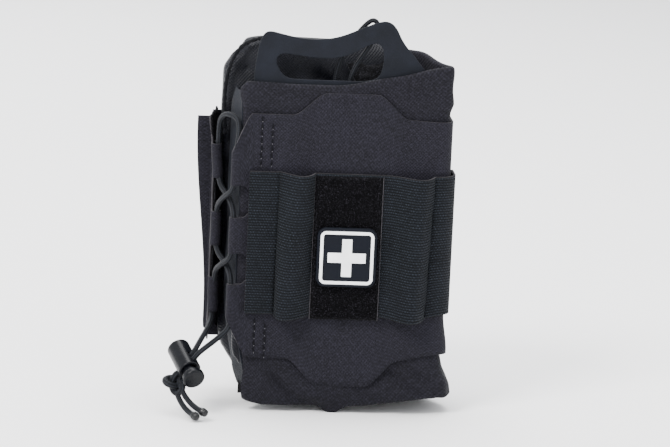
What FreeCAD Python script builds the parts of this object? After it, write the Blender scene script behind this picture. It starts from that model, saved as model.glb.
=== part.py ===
import FreeCAD, Part
import math
import os

# Pull-out first-aid pouch, standing upright. Millimetres.
# +Z is up, the front with the patch faces -Y, the laced side faces -X.
# The origin lies under the pouch's middle, on the surface that the insert stands on.

Vector = FreeCAD.Vector
UP = Vector(0, 0, 1)
BACK = Vector(0, 1, 0)

# Overall driving dimensions
half_width = 71.2
half_depth = 38.0
laminate = 1.4
fit_gap = 0.3
seam_gap = 0.4

# Carrier: front panel and its wrap round the right side
wrap_radius = 8.0
carrier_bottom_z = 30.5
carrier_top_z = 167.0
tab_centre_x = 12.8
tab_corner_radius = 5.0
top_tab_rise = 12.6
top_tab_half_base = 30.0
top_tab_half_end = 16.0
bottom_tab_drop = 14.9
bottom_tab_half_base = 28.5
bottom_tab_half_end = 15.5

# Carrier: laced hems on the left
shock_cord_diameter = 3.0
front_hem_inset = 21.9
front_hem_slack = 0.6
front_hem_wall = 0.8
front_tube_spans = ((127.0, 148.0), (89.0, 109.0), (50.0, 71.6))
window_depth = 9.4
window_slope = 4.0
wing_hem_inset = 12.5
wing_hem_depth = 23.0
wing_hem_slack = 0.9
wing_hem_wall = 1.0
wing_tube_spans = ((127.0, 146.0), (89.0, 108.0), (51.4, 71.0))
wing_bottom_z = 33.0
wing_top_z = 160.0
lining = 1.2

# Carrier: back
back_panel_depth = 13.0
mount_panel_top_z = 156.0
mount_panel_right_inset = 5.2
pals_pitch = 38.1
pals_webbing = 25.4
pals_slot_length = 27.0
pals_slot_height = 6.0
pals_lowest_row_z = 53.0
strap_thickness = 2.0
strap_pivot_z = 146.4
strap_bottom_z = 34.0
snap_z = 41.0
snap_cap_radius = 6.4
snap_cap_height = 1.4
snap_stud_radius = 4.0
anchor_height = 5.4

# Elastic band and what is on it
band_bottom_z = 56.0
band_top_z = 135.0
band_thickness = 1.6
band_left_inset = 29.3
left_loop_width = 18.0
loop_margin = 3.0
loop_rise = 7.0
band_side_end_y = -6.0
field_thickness = 1.7
field_bottom_z = 54.4
field_top_z = 134.0

# Patch
patch_size = 33.0
patch_centre_z = 90.0
patch_corner_radius = 5.0
patch_thickness = 3.0
hook_thickness = 1.2
hook_margin = 1.2
relief_height = 0.8
ring_margin = 1.75
ring_width = 1.7
cross_share = 0.636
bar_share = 0.167

# Insert
insert_left_inset = 23.2
cover_left_inset = 25.7
cover_thickness = 2.6
cover_low_z = 1.5
roll_top_z = 201.0
fold_drop = 29.0
fold_front_depth = 10.4
fold_middle_depth = 11.6
fold_corner_radius = 4.0
roll_left_inset = 14.5
roll_top_radius = 14.0
back_cover_thickness = 1.6
facing_thickness = 1.4
facing_front_depth = 11.0
organiser_thickness = 0.8
closure_width = 38.0
closure_thickness = 0.9
stiffener_thickness = 0.8

# Pull handle
handle_thickness = 1.2
handle_depth = 6.0
handle_hinge_drop = 14.0
handle_slope = 0.122
handle_hinge_gap = 1.6
anchor_depth = 37.0
handle_slot_left_x = -28.9
handle_slot_right_x = 29.3

# Cord lock: centre, the way its plunger points and the way the strands run through it
lock_from_wing_hem = 14.5
lock_ahead = 7.0
lock_height = 28.3
lock_axis = Vector(0.32, -0.84, -0.44).normalize()
strand_run = Vector(-0.496, 0.247, -0.833)
barrel_radius = 6.3
barrel_back = 13.0
barrel_front = 7.5
barrel_bore = 4.4
barrel_bore_depth = 17.0
strand_hole_offset = 2.0
strand_hole_slack = 1.0
strand_gap = 0.3
plunger_stem_radius = 4.2
plunger_stem_back = 5.6
plunger_head_radius = 6.2
plunger_head_thickness = 4.2
plunger_travel = 3.0
spring_wire = 0.7
spring_turns = 4
knot_from_lock = Vector(-5.0, -2.0, -10.9)
knot_radius = 4.4

# Values worked out from the driving dimensions
cord_radius = shock_cord_diameter / 2
patch_stack = relief_height + patch_thickness + hook_thickness + 0.1
front_face_y = -half_depth + patch_stack + field_thickness + band_thickness + 2 * fit_gap
side_face_x = half_width - band_thickness - fit_gap
back_panel_y = half_depth - back_panel_depth
front_hem_x = -half_width + front_hem_inset
front_hem_bore = cord_radius + front_hem_slack
front_hem_radius = front_hem_bore + front_hem_wall
front_hem_y = front_face_y + laminate / 2
wing_hem_x = -half_width + wing_hem_inset
wing_hem_y = front_face_y + wing_hem_depth
wing_hem_bore = cord_radius + wing_hem_slack
wing_hem_radius = wing_hem_bore + wing_hem_wall
wing_face_x = wing_hem_x - wing_hem_radius + 0.6
mount_panel_right_x = half_width - mount_panel_right_inset
front_inner_y = front_face_y + laminate
side_inner_x = side_face_x - laminate
mount_panel_y = back_panel_y + laminate + 0.6
mount_outer_y = mount_panel_y + laminate
strap_outer_y = half_depth - snap_cap_height
strap_inner_y = strap_outer_y - strap_thickness
strap_mid_y = (strap_outer_y + strap_inner_y) / 2
strap_columns = (-pals_pitch, pals_pitch)
band_left_x = -half_width + band_left_inset
left_loop_end_x = tab_centre_x - patch_size / 2 - loop_margin
left_loop_span = (left_loop_end_x - left_loop_width, left_loop_end_x)
right_loop_start_x = tab_centre_x + patch_size / 2 + loop_margin
right_loop_span = (right_loop_start_x, side_face_x - wrap_radius - 2.5)
band_inner_y = front_face_y - fit_gap
band_outer_y = band_inner_y - band_thickness
field_face_y = band_outer_y - fit_gap - field_thickness
ring_outer = patch_size - 2 * ring_margin
cross_span = cross_share * patch_size
cross_bar = bar_share * patch_size
hook_back_y = -half_depth + relief_height + patch_thickness + hook_thickness
insert_left_x = -half_width + insert_left_inset
cover_left_x = -half_width + cover_left_inset
roll_left_x = -half_width + roll_left_inset
fold_top_z = roll_top_z - fold_drop
facing_front_y = front_face_y + facing_front_depth
handle_y = front_face_y + handle_depth
handle_hinge_z = roll_top_z - handle_hinge_drop
anchor_bottom_z = handle_hinge_z - anchor_depth
handle_slot_low_z = handle_hinge_z - 1.0
insert_right_x = side_inner_x - 1.5
cover_right_x = side_face_x - wrap_radius + 1.6
cover_front_y = front_inner_y + seam_gap
cover_back_y = cover_front_y + cover_thickness
fold_front_y = handle_y + handle_thickness / 2 + seam_gap
fold_middle_y = fold_front_y + fold_front_depth + 1.2
roll_front_y = fold_middle_y + fold_middle_depth + 2 * closure_thickness + 1.0
back_cover_y = back_panel_y - seam_gap - back_cover_thickness
roll_back_y = back_cover_y - seam_gap
inner_right_x = insert_right_x - back_cover_thickness - seam_gap

# Cord lock and the places where the two strands cross it
lock_centre = Vector(wing_hem_x - lock_from_wing_hem, front_face_y - lock_ahead, lock_height)
strand_spacing = shock_cord_diameter + strand_gap
strand_hole_width = shock_cord_diameter + strand_hole_slack
strand_hole = lock_centre + lock_axis * strand_hole_offset
strand_way = (strand_run - lock_axis * strand_run.dot(lock_axis)).normalize()
knot_centre = lock_centre + knot_from_lock
side_crossing = strand_hole - lock_axis * (strand_spacing / 2)
front_crossing = strand_hole + lock_axis * (strand_spacing / 2)

# Places that the cords pass: the two hems, and the middle of the gap between them
wing_hem = Vector(wing_hem_x, wing_hem_y, 0)
front_hem = Vector(front_hem_x, front_hem_y, 0)
gap_middle = (wing_hem + front_hem) / 2
outward = UP.cross(front_hem - wing_hem).normalize() * -1.0
crossing_reach = 0.65 * shock_cord_diameter
outer_crossing = gap_middle + outward * crossing_reach
inner_crossing = gap_middle - outward * crossing_reach

# Lacing: up from the wing's lowest tube, over the top, and down to the front's lowest tube
lacing_route = (
    wing_hem + UP * 51.4,
    wing_hem + UP * 73.2,
    outer_crossing + UP * 80.3,
    front_hem + UP * 86.8,
    front_hem + UP * 111.2,
    inner_crossing + UP * 118.0,
    wing_hem + UP * 124.8,
    wing_hem + UP * 155.5,
    wing_hem + Vector(0.8, -3.4, 161.6),
    wing_hem + Vector(4.2, -10.4, 164.8),
    front_hem + Vector(0.4, 6.4, 163.0),
    front_hem + Vector(1.4, 3.0, 156.5),
    front_hem + UP * 149.0,
    front_hem + UP * 124.8,
    outer_crossing + UP * 118.0,
    wing_hem + UP * 110.2,
    wing_hem + UP * 86.8,
    inner_crossing + UP * 80.3,
    front_hem + UP * 73.8,
    front_hem + UP * 50.0,
)
lacing_bend = 4.5

# Free strands from the lowest tubes through the lock to the knot, and the tails below it
strand_side_route = (
    wing_hem + UP * 51.4,
    wing_hem + Vector(-0.2, -1.2, 47.0),
    wing_hem + Vector(-2.6, -12.0, 43.8),
    side_crossing - strand_way * 11.5 + Vector(1.2, 5.0, 1.6),
    side_crossing - strand_way * 9.0,
    side_crossing + strand_way * 6.4,
    knot_centre + Vector(-0.2, 1.8, 2.4),
)
strand_front_route = (
    front_hem + UP * 50.0,
    front_hem + Vector(-0.9, -1.0, 46.4),
    front_hem + Vector(-7.0, -5.2, 41.6),
    front_crossing - strand_way * 11.4 + Vector(2.6, 1.0, 1.2),
    front_crossing - strand_way * 8.4,
    front_crossing + strand_way * 7.4,
    knot_centre + Vector(1.6, -1.6, 1.0),
)
tail_side_route = (
    knot_centre + Vector(0.3, -0.3, -3.8),
    knot_centre + Vector(1.6, -3.4, -7.8),
    knot_centre + Vector(4.4, -8.0, -12.0),
    knot_centre + Vector(7.8, -13.4, -15.1),
    knot_centre + Vector(10.8, -19.4, -16.0),
)
tail_front_route = (
    knot_centre + Vector(2.9, -2.3, -2.4),
    knot_centre + Vector(4.6, -5.4, -5.6),
    knot_centre + Vector(7.6, -9.2, -8.8),
    knot_centre + Vector(11.4, -13.4, -11.2),
    knot_centre + Vector(15.4, -17.8, -12.2),
)
inner_cord_start = Vector(tab_centre_x - 2.0, fold_front_y + 4.4, fold_top_z + 4.0)
inner_cord_route = (
    inner_cord_start,
    inner_cord_start + Vector(-0.2, 0.0, 12.0),
    inner_cord_start + Vector(11.0, -0.2, 29.0),
    inner_cord_start + Vector(15.6, 0.0, 38.0),
    inner_cord_start + Vector(13.8, 0.4, 43.4),
    inner_cord_start + Vector(9.2, 1.2, 42.2),
    inner_cord_start + Vector(-2.6, 2.2, 26.6),
    inner_cord_start + Vector(-7.4, 2.2, 13.0),
    inner_cord_start + Vector(-7.8, 2.2, 0.0),
)
inner_cord_diameter = 2.6
inner_cord_bend = 3.0


def box(low, high):
    """A block between two corners."""
    return Part.makeBox(high[0] - low[0], high[1] - low[1], high[2] - low[2], Vector(*low))


def corner(before, point, after, radius):
    """Start, middle and end of the arc that rounds a corner of a route."""
    back = (before - point).normalize()
    ahead = (after - point).normalize()
    half_turn = (math.pi - back.getAngle(ahead)) / 2
    reach = radius * math.tan(half_turn)
    start = point + back * reach
    end = point + ahead * reach
    middle_way = (back + ahead).normalize()
    middle = point + middle_way * (radius / math.cos(half_turn) - radius)
    return start, middle, end


def rounded_outline(points, radius, to_vector):
    """A closed wire through flat points, each corner rounded as far as its sides allow."""
    places = [to_vector(point) for point in points]
    arcs = []
    for index, place in enumerate(places):
        before = places[index - 1]
        after = places[(index + 1) % len(places)]
        half_turn = (math.pi - (before - place).getAngle(after - place)) / 2
        shorter = min((before - place).Length, (after - place).Length)
        allowed = 0.45 * shorter / math.tan(half_turn)
        arcs.append(corner(before, place, after, min(radius, allowed)))
    edges = []
    for index, (start, middle, end) in enumerate(arcs):
        edges.append(Part.Arc(start, middle, end).toShape())
        edges.append(Part.LineSegment(end, arcs[(index + 1) % len(arcs)][0]).toShape())
    return Part.Wire(edges)


def front_plate(points, face_y, thickness, radius):
    """A plate with an outline seen from the front, from face_y towards the back."""
    outline = rounded_outline(points, radius, lambda p: Vector(p[0], face_y, p[1]))
    return Part.Face(outline).extrude(BACK * thickness)


def plan_block(points, low_z, high_z, radius):
    """A block with an outline seen from above."""
    outline = rounded_outline(points, radius, lambda p: Vector(p[0], p[1], low_z))
    return Part.Face(outline).extrude(UP * (high_z - low_z))


def rectangle(left, low, right, high):
    """The four corners of an upright rectangle."""
    return ((left, low), (right, low), (right, high), (left, high))


def rod(start, direction, radius, length):
    """A round bar."""
    return Part.makeCylinder(radius, length, start, direction)


def cord(name, route, diameter, largest_bend=1000.0):
    """A tube along straight runs joined by tangent arcs, with its length and bends printed."""
    places = list(route)
    edges = []
    radii = []
    here = places[0]
    for before, place, after in zip(places, places[1:], places[2:]):
        half_turn = (math.pi - (before - place).getAngle(after - place)) / 2
        shorter = min((before - place).Length, (after - place).Length)
        radius = min(0.45 * shorter / math.tan(half_turn), largest_bend)
        start, middle, end = corner(before, place, after, radius)
        edges.append(Part.LineSegment(here, start).toShape())
        edges.append(Part.Arc(start, middle, end).toShape())
        radii.append(round(radius, 1))
        here = end
    edges.append(Part.LineSegment(here, places[-1]).toShape())
    path = Part.Wire(edges)
    section = Part.Wire(Part.makeCircle(diameter / 2, places[0], places[1] - places[0]))
    tube = path.makePipeShell([section], True, False)
    expected = math.pi * diameter ** 2 / 4 * path.Length
    print(name, "length", round(path.Length, 1), "volume ratio",
          round(tube.Volume / expected, 4), "radii", radii)
    return tube


def carrier_front_panel():
    """Front face with its tabs, the three hem tubes, and the wrap round the right side."""
    corner_x = side_face_x - wrap_radius
    hem_top = front_tube_spans[0][1]
    hem_bottom = front_tube_spans[2][0]
    outline = (
        (front_hem_x + 6.9, carrier_top_z),
        (tab_centre_x - top_tab_half_base, carrier_top_z),
        (tab_centre_x - top_tab_half_end, carrier_top_z + top_tab_rise),
        (tab_centre_x + top_tab_half_end, carrier_top_z + top_tab_rise),
        (tab_centre_x + top_tab_half_base, carrier_top_z),
        (corner_x, carrier_top_z),
        (corner_x, carrier_bottom_z),
        (tab_centre_x + bottom_tab_half_base, carrier_bottom_z),
        (tab_centre_x + bottom_tab_half_end, carrier_bottom_z - bottom_tab_drop),
        (tab_centre_x - bottom_tab_half_end, carrier_bottom_z - bottom_tab_drop),
        (tab_centre_x - bottom_tab_half_base, carrier_bottom_z),
        (front_hem_x + 8.6, carrier_bottom_z),
        (front_hem_x, hem_bottom - 1.0),
        (front_hem_x, hem_top + 1.0),
    )
    sharp = [Vector(x, front_face_y, z) for x, z in outline]
    plate = Part.Face(Part.makePolygon(sharp + sharp[:1])).extrude(BACK * laminate)
    tab_edges = [
        edge for edge in plate.Edges
        if abs(edge.Vertexes[0].X - edge.Vertexes[1].X) < 0.01
        and abs(edge.Vertexes[0].Z - edge.Vertexes[1].Z) < 0.01
        and abs(edge.Vertexes[0].X - tab_centre_x) < top_tab_half_base + 1.0
    ]
    plate = plate.makeFillet(tab_corner_radius, tab_edges)
    centre = Vector(corner_x, front_face_y + wrap_radius, carrier_bottom_z)
    height = carrier_top_z - carrier_bottom_z
    round_outer = Part.makeCylinder(wrap_radius, height, centre, UP)
    round_inner = Part.makeCylinder(wrap_radius - laminate, height, centre, UP)
    quarter = box(
        (corner_x, front_face_y, carrier_bottom_z),
        (side_face_x, front_face_y + wrap_radius, carrier_top_z),
    )
    wrap = round_outer.cut(round_inner).common(quarter)
    side = box(
        (side_inner_x, front_face_y + wrap_radius, carrier_bottom_z),
        (side_face_x, back_panel_y, carrier_top_z),
    )
    panel = plate.fuse([wrap, side])
    for low, high in front_tube_spans:
        panel = panel.fuse(rod(front_hem + UP * low, UP, front_hem_radius, high - low))
    cuts = []
    for upper, lower in zip(front_tube_spans, front_tube_spans[1:]):
        top = upper[0]
        bottom = lower[1]
        window = (
            (front_hem_x - 5.0, bottom),
            (front_hem_x + window_depth - window_slope, bottom),
            (front_hem_x + window_depth, bottom + window_slope),
            (front_hem_x + window_depth, top - window_slope),
            (front_hem_x + window_depth - window_slope, top),
            (front_hem_x - 5.0, top),
        )
        places = [Vector(x, front_hem_y - 5.0, z) for x, z in window]
        cuts.append(Part.Face(Part.makePolygon(places + places[:1])).extrude(BACK * 10.0))
    bore_start = front_hem + UP * (hem_bottom - 3.0)
    cuts.append(rod(bore_start, UP, front_hem_bore, hem_top - hem_bottom + 6.0))
    return panel.cut(cuts).removeSplitter()


def side_wing():
    """Left rear flap, forward from the back panel to its three hem tubes."""
    tip_height = wing_tube_spans[2][0] - wing_bottom_z
    outline = (
        (back_panel_y, wing_bottom_z),
        (wing_hem_y + tip_height, wing_bottom_z),
        (wing_hem_y, wing_tube_spans[2][0]),
        (wing_hem_y, wing_top_z),
        (back_panel_y, wing_top_z),
    )
    places = [Vector(wing_face_x, y, z) for y, z in outline]
    wing = Part.Face(Part.makePolygon(places + places[:1])).extrude(Vector(laminate, 0, 0))
    for low, high in wing_tube_spans:
        wing = wing.fuse(rod(wing_hem + UP * low, UP, wing_hem_radius, high - low))
    cuts = []
    for upper, lower in zip(wing_tube_spans, wing_tube_spans[1:]):
        cuts.append(box(
            (wing_face_x - 5.0, wing_hem_y - 5.0, lower[1]),
            (wing_hem_x + 5.0, wing_hem_y + 5.0, upper[0]),
        ))
    cuts.append(box(
        (wing_face_x - 5.0, wing_hem_y - 5.0, wing_tube_spans[0][1]),
        (wing_hem_x + 5.0, wing_hem_y + 5.0, wing_top_z + 1.0),
    ))
    cuts.append(rod(wing_hem, UP, wing_hem_bore, wing_top_z))
    return wing.cut(cuts).removeSplitter()


def wing_loop_lining():
    """Loop pile on the wing's inner face, standing a little above its top edge."""
    left = wing_face_x + laminate + 0.1
    return box(
        (left, wing_hem_y + 5.0, wing_tube_spans[2][0]),
        (left + lining, back_panel_y - 0.2, wing_top_z + 1.5),
    )


def carrier_back_panel():
    """Inner back wall, joined to the wing and to the right side."""
    outline = rectangle(wing_face_x, carrier_bottom_z, side_face_x, mount_panel_top_z + 4.0)
    return front_plate(outline, back_panel_y, laminate, 3.0)


def mount_panel():
    """Outer back panel with three columns and three rows of webbing slots."""
    outline = rectangle(-half_width, carrier_bottom_z, mount_panel_right_x, mount_panel_top_z)
    panel = front_plate(outline, mount_panel_y, laminate, 6.0)
    cuts = []
    for column in (-pals_pitch, 0.0, pals_pitch):
        for row in range(3):
            slot = rectangle(
                column - pals_slot_length / 2,
                pals_lowest_row_z + row * pals_pitch,
                column + pals_slot_length / 2,
                pals_lowest_row_z + row * pals_pitch + pals_slot_height,
            )
            cuts.append(front_plate(slot, mount_panel_y - 1.0, laminate + 2.0, 2.0))
    return panel.cut(cuts)


def panel_spacer():
    """Seam allowance that joins the two back panels round their top edge."""
    return box(
        (wing_face_x + 4.0, back_panel_y + laminate, mount_panel_top_z - 8.0),
        (mount_panel_right_x - 4.0, mount_panel_y, mount_panel_top_z - 1.0),
    )


def strap_anchors():
    """Sewn upper ends of the two mounting straps."""
    bottom = strap_pivot_z + strap_thickness / 2 + 0.2
    anchors = [
        box(
            (x - pals_webbing / 2, mount_outer_y, bottom),
            (x + pals_webbing / 2, strap_outer_y, bottom + anchor_height),
        )
        for x in strap_columns
    ]
    return Part.makeCompound(anchors)


def mount_strap(x):
    """One webbing strap, hanging from its anchor, with a rolled upper end."""
    left = x - pals_webbing / 2
    top = strap_pivot_z
    tape = box(
        (left, strap_inner_y, strap_bottom_z),
        (left + pals_webbing, strap_outer_y, top),
    )
    roll_start = Vector(left, strap_mid_y, top)
    return tape.fuse(rod(roll_start, Vector(1, 0, 0), strap_thickness / 2, pals_webbing))


def snap_cap(x):
    """Pressed cap of the snap on the strap's outer face."""
    cap = rod(Vector(x, strap_outer_y, snap_z), BACK, snap_cap_radius, snap_cap_height)
    rim = [edge for edge in cap.Edges if edge.BoundBox.YMin > half_depth - 0.01]
    return cap.makeFillet(snap_cap_height * 0.6, rim)


def snap_studs():
    """Studs on the outer back panel that the straps press onto."""
    studs = []
    for x in strap_columns:
        base = rod(Vector(x, mount_outer_y, snap_z), BACK, snap_cap_radius, 1.2)
        post = rod(
            Vector(x, mount_outer_y, snap_z), BACK, snap_stud_radius,
            strap_inner_y - fit_gap - mount_outer_y,
        )
        studs.append(base.fuse(post))
    return Part.makeCompound(studs)


def band_loop(span):
    """One raised loop of the band: the space between two arcs, seen from above."""
    left, right = span
    middle = (left + right) / 2
    crown = band_outer_y - loop_rise + 1.0
    outer = Part.Arc(
        Vector(left - band_thickness, band_outer_y, 0), Vector(middle, crown, 0),
        Vector(right + band_thickness, band_outer_y, 0),
    )
    inner = Part.Arc(
        Vector(left, band_inner_y, 0), Vector(middle, crown + band_thickness, 0),
        Vector(right, band_inner_y, 0),
    )
    foot_left = (Vector(left, band_inner_y, 0), Vector(left - band_thickness, band_outer_y, 0))
    foot_right = (Vector(right + band_thickness, band_outer_y, 0), Vector(right, band_inner_y, 0))
    section = Part.Wire([
        outer.toShape(),
        Part.LineSegment(*foot_right).toShape(),
        inner.toShape(),
        Part.LineSegment(*foot_left).toShape(),
    ])
    return Part.Face(section).extrude(UP * (band_top_z - band_bottom_z))


def elastic_band():
    """The band across the front: flat stretches, two raised loops and the right corner."""
    height = band_top_z - band_bottom_z
    corner_x = side_face_x - wrap_radius
    flats = (
        (band_left_x, left_loop_span[0]),
        (left_loop_span[1], right_loop_span[0]),
        (right_loop_span[1], corner_x),
    )
    pieces = []
    for left, right in flats:
        pieces.append(box((left, band_outer_y, 0), (right, band_inner_y, height)))
    centre = Vector(corner_x, front_face_y + wrap_radius, 0)
    outer = Part.makeCylinder(wrap_radius + fit_gap + band_thickness, height, centre, UP)
    inner = Part.makeCylinder(wrap_radius + fit_gap, height, centre, UP)
    quarter = box((corner_x, band_outer_y, 0), (half_width, centre.y, height))
    pieces.append(outer.cut(inner).common(quarter))
    pieces.append(box(
        (half_width - band_thickness, centre.y, 0), (half_width, band_side_end_y, height),
    ))
    pieces.append(band_loop(left_loop_span))
    pieces.append(band_loop(right_loop_span))
    band = pieces[0].fuse(pieces[1:]).removeSplitter()
    band.translate(UP * band_bottom_z)
    return band


def loop_field():
    """Loop tape sewn to the band between the two raised loops."""
    return box(
        (left_loop_span[1] + band_thickness, field_face_y, field_bottom_z),
        (right_loop_span[0] - band_thickness, field_face_y + field_thickness, field_top_z),
    )


def patch_square(size, back_y, thickness, radius):
    """A rounded square slab centred on the patch."""
    half = size / 2
    outline = rectangle(
        tab_centre_x - half, patch_centre_z - half, tab_centre_x + half, patch_centre_z + half,
    )
    return front_plate(outline, back_y - thickness, thickness, radius)


def patch_ring():
    """Raised white frame on the patch."""
    face = -half_depth + relief_height
    outer_radius = patch_corner_radius - (patch_size - ring_outer) / 2
    outer = patch_square(ring_outer, face, relief_height, outer_radius)
    inner = patch_square(
        ring_outer - 2 * ring_width, face, relief_height, outer_radius - ring_width,
    )
    return outer.cut(inner)


def patch_cross():
    """Raised white cross on the patch."""
    face = -half_depth
    half = cross_span / 2
    bar = cross_bar / 2
    upright = box(
        (tab_centre_x - bar, face, patch_centre_z - half),
        (tab_centre_x + bar, face + relief_height, patch_centre_z + half),
    )
    level = box(
        (tab_centre_x - half, face, patch_centre_z - bar),
        (tab_centre_x + half, face + relief_height, patch_centre_z + bar),
    )
    return upright.fuse(level).removeSplitter()


def insert_front_cover():
    """Front face of the insert, with its dipped top edge and uneven lower edge."""
    right = cover_right_x
    outline = (
        (cover_left_x, roll_top_z - 15.0),
        (tab_centre_x - 8.0, roll_top_z - 15.0),
        (tab_centre_x + 27.0, roll_top_z - 10.0),
        (right, roll_top_z - 1.0),
        (right, 11.0),
        (right - 10.0, 7.0),
        (tab_centre_x + 12.0, 5.0),
        (tab_centre_x + 2.0, cover_low_z),
        (tab_centre_x - 7.0, cover_low_z),
        (tab_centre_x - 18.0, 5.0),
        (cover_left_x + 9.0, 6.0),
        (cover_left_x + 3.0, 13.0),
    )
    return front_plate(outline, cover_front_y, cover_thickness, 4.0)


def insert_back_cover():
    """Rear and right walls of the insert's outer fabric, in one L seen from above."""
    outline = (
        (roll_left_x + 3.0, back_cover_y),
        (insert_right_x - back_cover_thickness, back_cover_y),
        (insert_right_x - back_cover_thickness, cover_back_y + seam_gap),
        (insert_right_x, cover_back_y + seam_gap),
        (insert_right_x, back_cover_y + back_cover_thickness),
        (roll_left_x + 3.0, back_cover_y + back_cover_thickness),
    )
    places = [Vector(x, y, 3.0) for x, y in outline]
    return Part.Face(Part.makePolygon(places + places[:1])).extrude(UP * (roll_top_z - 4.0))


def insert_fold(front_y, depth):
    """One padded leaf of the folded organiser."""
    outline = rectangle(insert_left_x, front_y, inner_right_x, front_y + depth)
    return plan_block(outline, 0.0, fold_top_z, fold_corner_radius)


def insert_rear_roll():
    """The rolled leaf at the back, taller than the others and rounded at its upper left."""
    outline = (
        (roll_left_x, 4.0),
        (roll_left_x + 6.0, 0.0),
        (inner_right_x, 0.0),
        (inner_right_x, roll_top_z),
        (roll_left_x, roll_top_z),
    )
    return front_plate(outline, roll_front_y, roll_back_y - roll_front_y, roll_top_radius)


def insert_side_facing():
    """Smooth laminate strip up the insert's left side."""
    left = insert_left_x - seam_gap - facing_thickness
    return box(
        (left, facing_front_y, 2.0),
        (left + facing_thickness, roll_front_y - seam_gap, fold_top_z + 4.0),
    )


def insert_stiffener():
    """Plastic sheet between the front leaf and the middle leaf."""
    front = fold_front_y + fold_front_depth + 0.2
    return box(
        (insert_left_x + 5.0, front, 6.0),
        (inner_right_x - 5.0, front + stiffener_thickness, fold_top_z - 6.0),
    )


def organiser_band(low_z):
    """Elastic organiser band across the inside, between the handle anchor and the leaf."""
    front = cover_back_y + 0.2
    return box(
        (insert_left_x + 6.0, front, low_z),
        (inner_right_x - 6.0, front + organiser_thickness, low_z + pals_webbing),
    )


def closure_strip(layer):
    """One of the two mating closure strips that hold the roll shut."""
    front = fold_middle_y + fold_middle_depth + 0.4 + layer * (closure_thickness + 0.1)
    return box(
        (insert_left_x + 10.0, front, 60.0),
        (inner_right_x - 10.0, front + closure_thickness, 60.0 + closure_width),
    )


def insert_lining_flap():
    """Slack lining that folds over the leaves, seen through the handle's slot."""
    outline = (
        (-36.0, fold_top_z + 0.6),
        (18.0, fold_top_z + 0.6),
        (2.0, fold_top_z + 18.0),
        (-8.0, fold_top_z + 30.0),
        (-34.0, fold_top_z + 31.0),
    )
    return front_plate(outline, inner_cord_start.y + 5.0, 1.6, 3.0)


def handle_line(x):
    """Height of the handle's fold line above the insert's top edge."""
    return handle_hinge_z + handle_slope * (x + 41.0)


def handle_plate():
    """The whole handle laminate with its slot, before it is divided at the fold line."""
    base = handle_hinge_z
    outline = (
        (-41.5, anchor_bottom_z),
        (52.5, anchor_bottom_z),
        (52.5, base + 7.0),
        (40.4, base + 22.7),
        (34.6, base + 32.4),
        (28.0, base + 33.0),
        (10.5, base + 27.8),
        (-4.6, base + 24.8),
        (-20.0, base + 25.8),
        (-33.6, base + 28.6),
        (-38.8, base + 22.0),
        (-41.5, base - 1.0),
    )
    slot = (
        (handle_slot_left_x, base + 16.0),
        (1.9, base + 14.8),
        (handle_slot_right_x - 4.0, base + 20.6),
        (handle_slot_right_x, base + 16.0),
        (handle_slot_right_x - 1.0, handle_slot_low_z + 4.0),
        (handle_slot_right_x - 5.0, handle_slot_low_z),
        (handle_slot_left_x + 8.0, handle_slot_low_z),
        (handle_slot_left_x, handle_slot_low_z + 12.0),
    )
    face_y = handle_y - handle_thickness / 2
    plate = front_plate(outline, face_y, handle_thickness, 5.0)
    return plate.cut(front_plate(slot, face_y - 1.0, handle_thickness + 2.0, 3.0))


def handle_side(above):
    """A block that holds everything above, or below, the handle's fold line."""
    gap = handle_hinge_gap / 2 if above else -handle_hinge_gap / 2
    far = 60.0 if above else -60.0
    places = [
        Vector(x, handle_y - 5.0, z)
        for x, z in (
            (-60.0, handle_line(-60.0) + gap),
            (70.0, handle_line(70.0) + gap),
            (70.0, handle_line(70.0) + far),
            (-60.0, handle_line(-60.0) + far),
        )
    ]
    return Part.Face(Part.makePolygon(places + places[:1])).extrude(BACK * 10.0)


def strand_slot(length):
    """The cross hole for the two strands, lying one behind the other along the lock."""
    across = lock_axis.cross(strand_way)
    width = strand_hole_width
    start = strand_hole - strand_way * 10.0 - across * (width / 2) - lock_axis * (length / 2)
    ahead = lock_axis * length
    places = [start, start + across * width, start + across * width + ahead, start + ahead]
    return Part.Face(Part.makePolygon(places + places[:1])).extrude(strand_way * 20.0)


def lock_barrel():
    """Barrel of the cord lock: a cup with a cross hole near its open end."""
    back = lock_centre - lock_axis * barrel_back
    length = barrel_back + barrel_front
    barrel = rod(back, lock_axis, barrel_radius, length)
    rims = [edge for edge in barrel.Edges if edge.Length > barrel_radius * 6 and edge.Closed]
    barrel = barrel.makeFillet(0.8, rims)
    bore_start = back + lock_axis * (length - barrel_bore_depth)
    bore = rod(bore_start, lock_axis, barrel_bore, barrel_bore_depth + 1.0)
    return barrel.cut([bore, strand_slot(2 * strand_spacing + 0.8)])


def lock_plunger():
    """Plunger of the cord lock, its cross hole long enough for its travel, with a round head."""
    stem_start = lock_centre - lock_axis * plunger_stem_back
    head_start = lock_centre + lock_axis * (barrel_front + plunger_travel + 0.5)
    stem_length = (head_start - stem_start).Length
    stem = rod(stem_start, lock_axis, plunger_stem_radius, stem_length)
    head = rod(head_start, lock_axis, plunger_head_radius, plunger_head_thickness)
    rims = [edge for edge in head.Edges if edge.Length > plunger_head_radius * 6 and edge.Closed]
    head = head.makeFillet(1.4, rims)
    slot_length = 2 * strand_spacing + 0.8 + plunger_travel
    slot = strand_slot(slot_length)
    slot.translate(lock_axis * (plunger_travel / 2))
    return stem.fuse(head).cut(slot)


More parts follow.
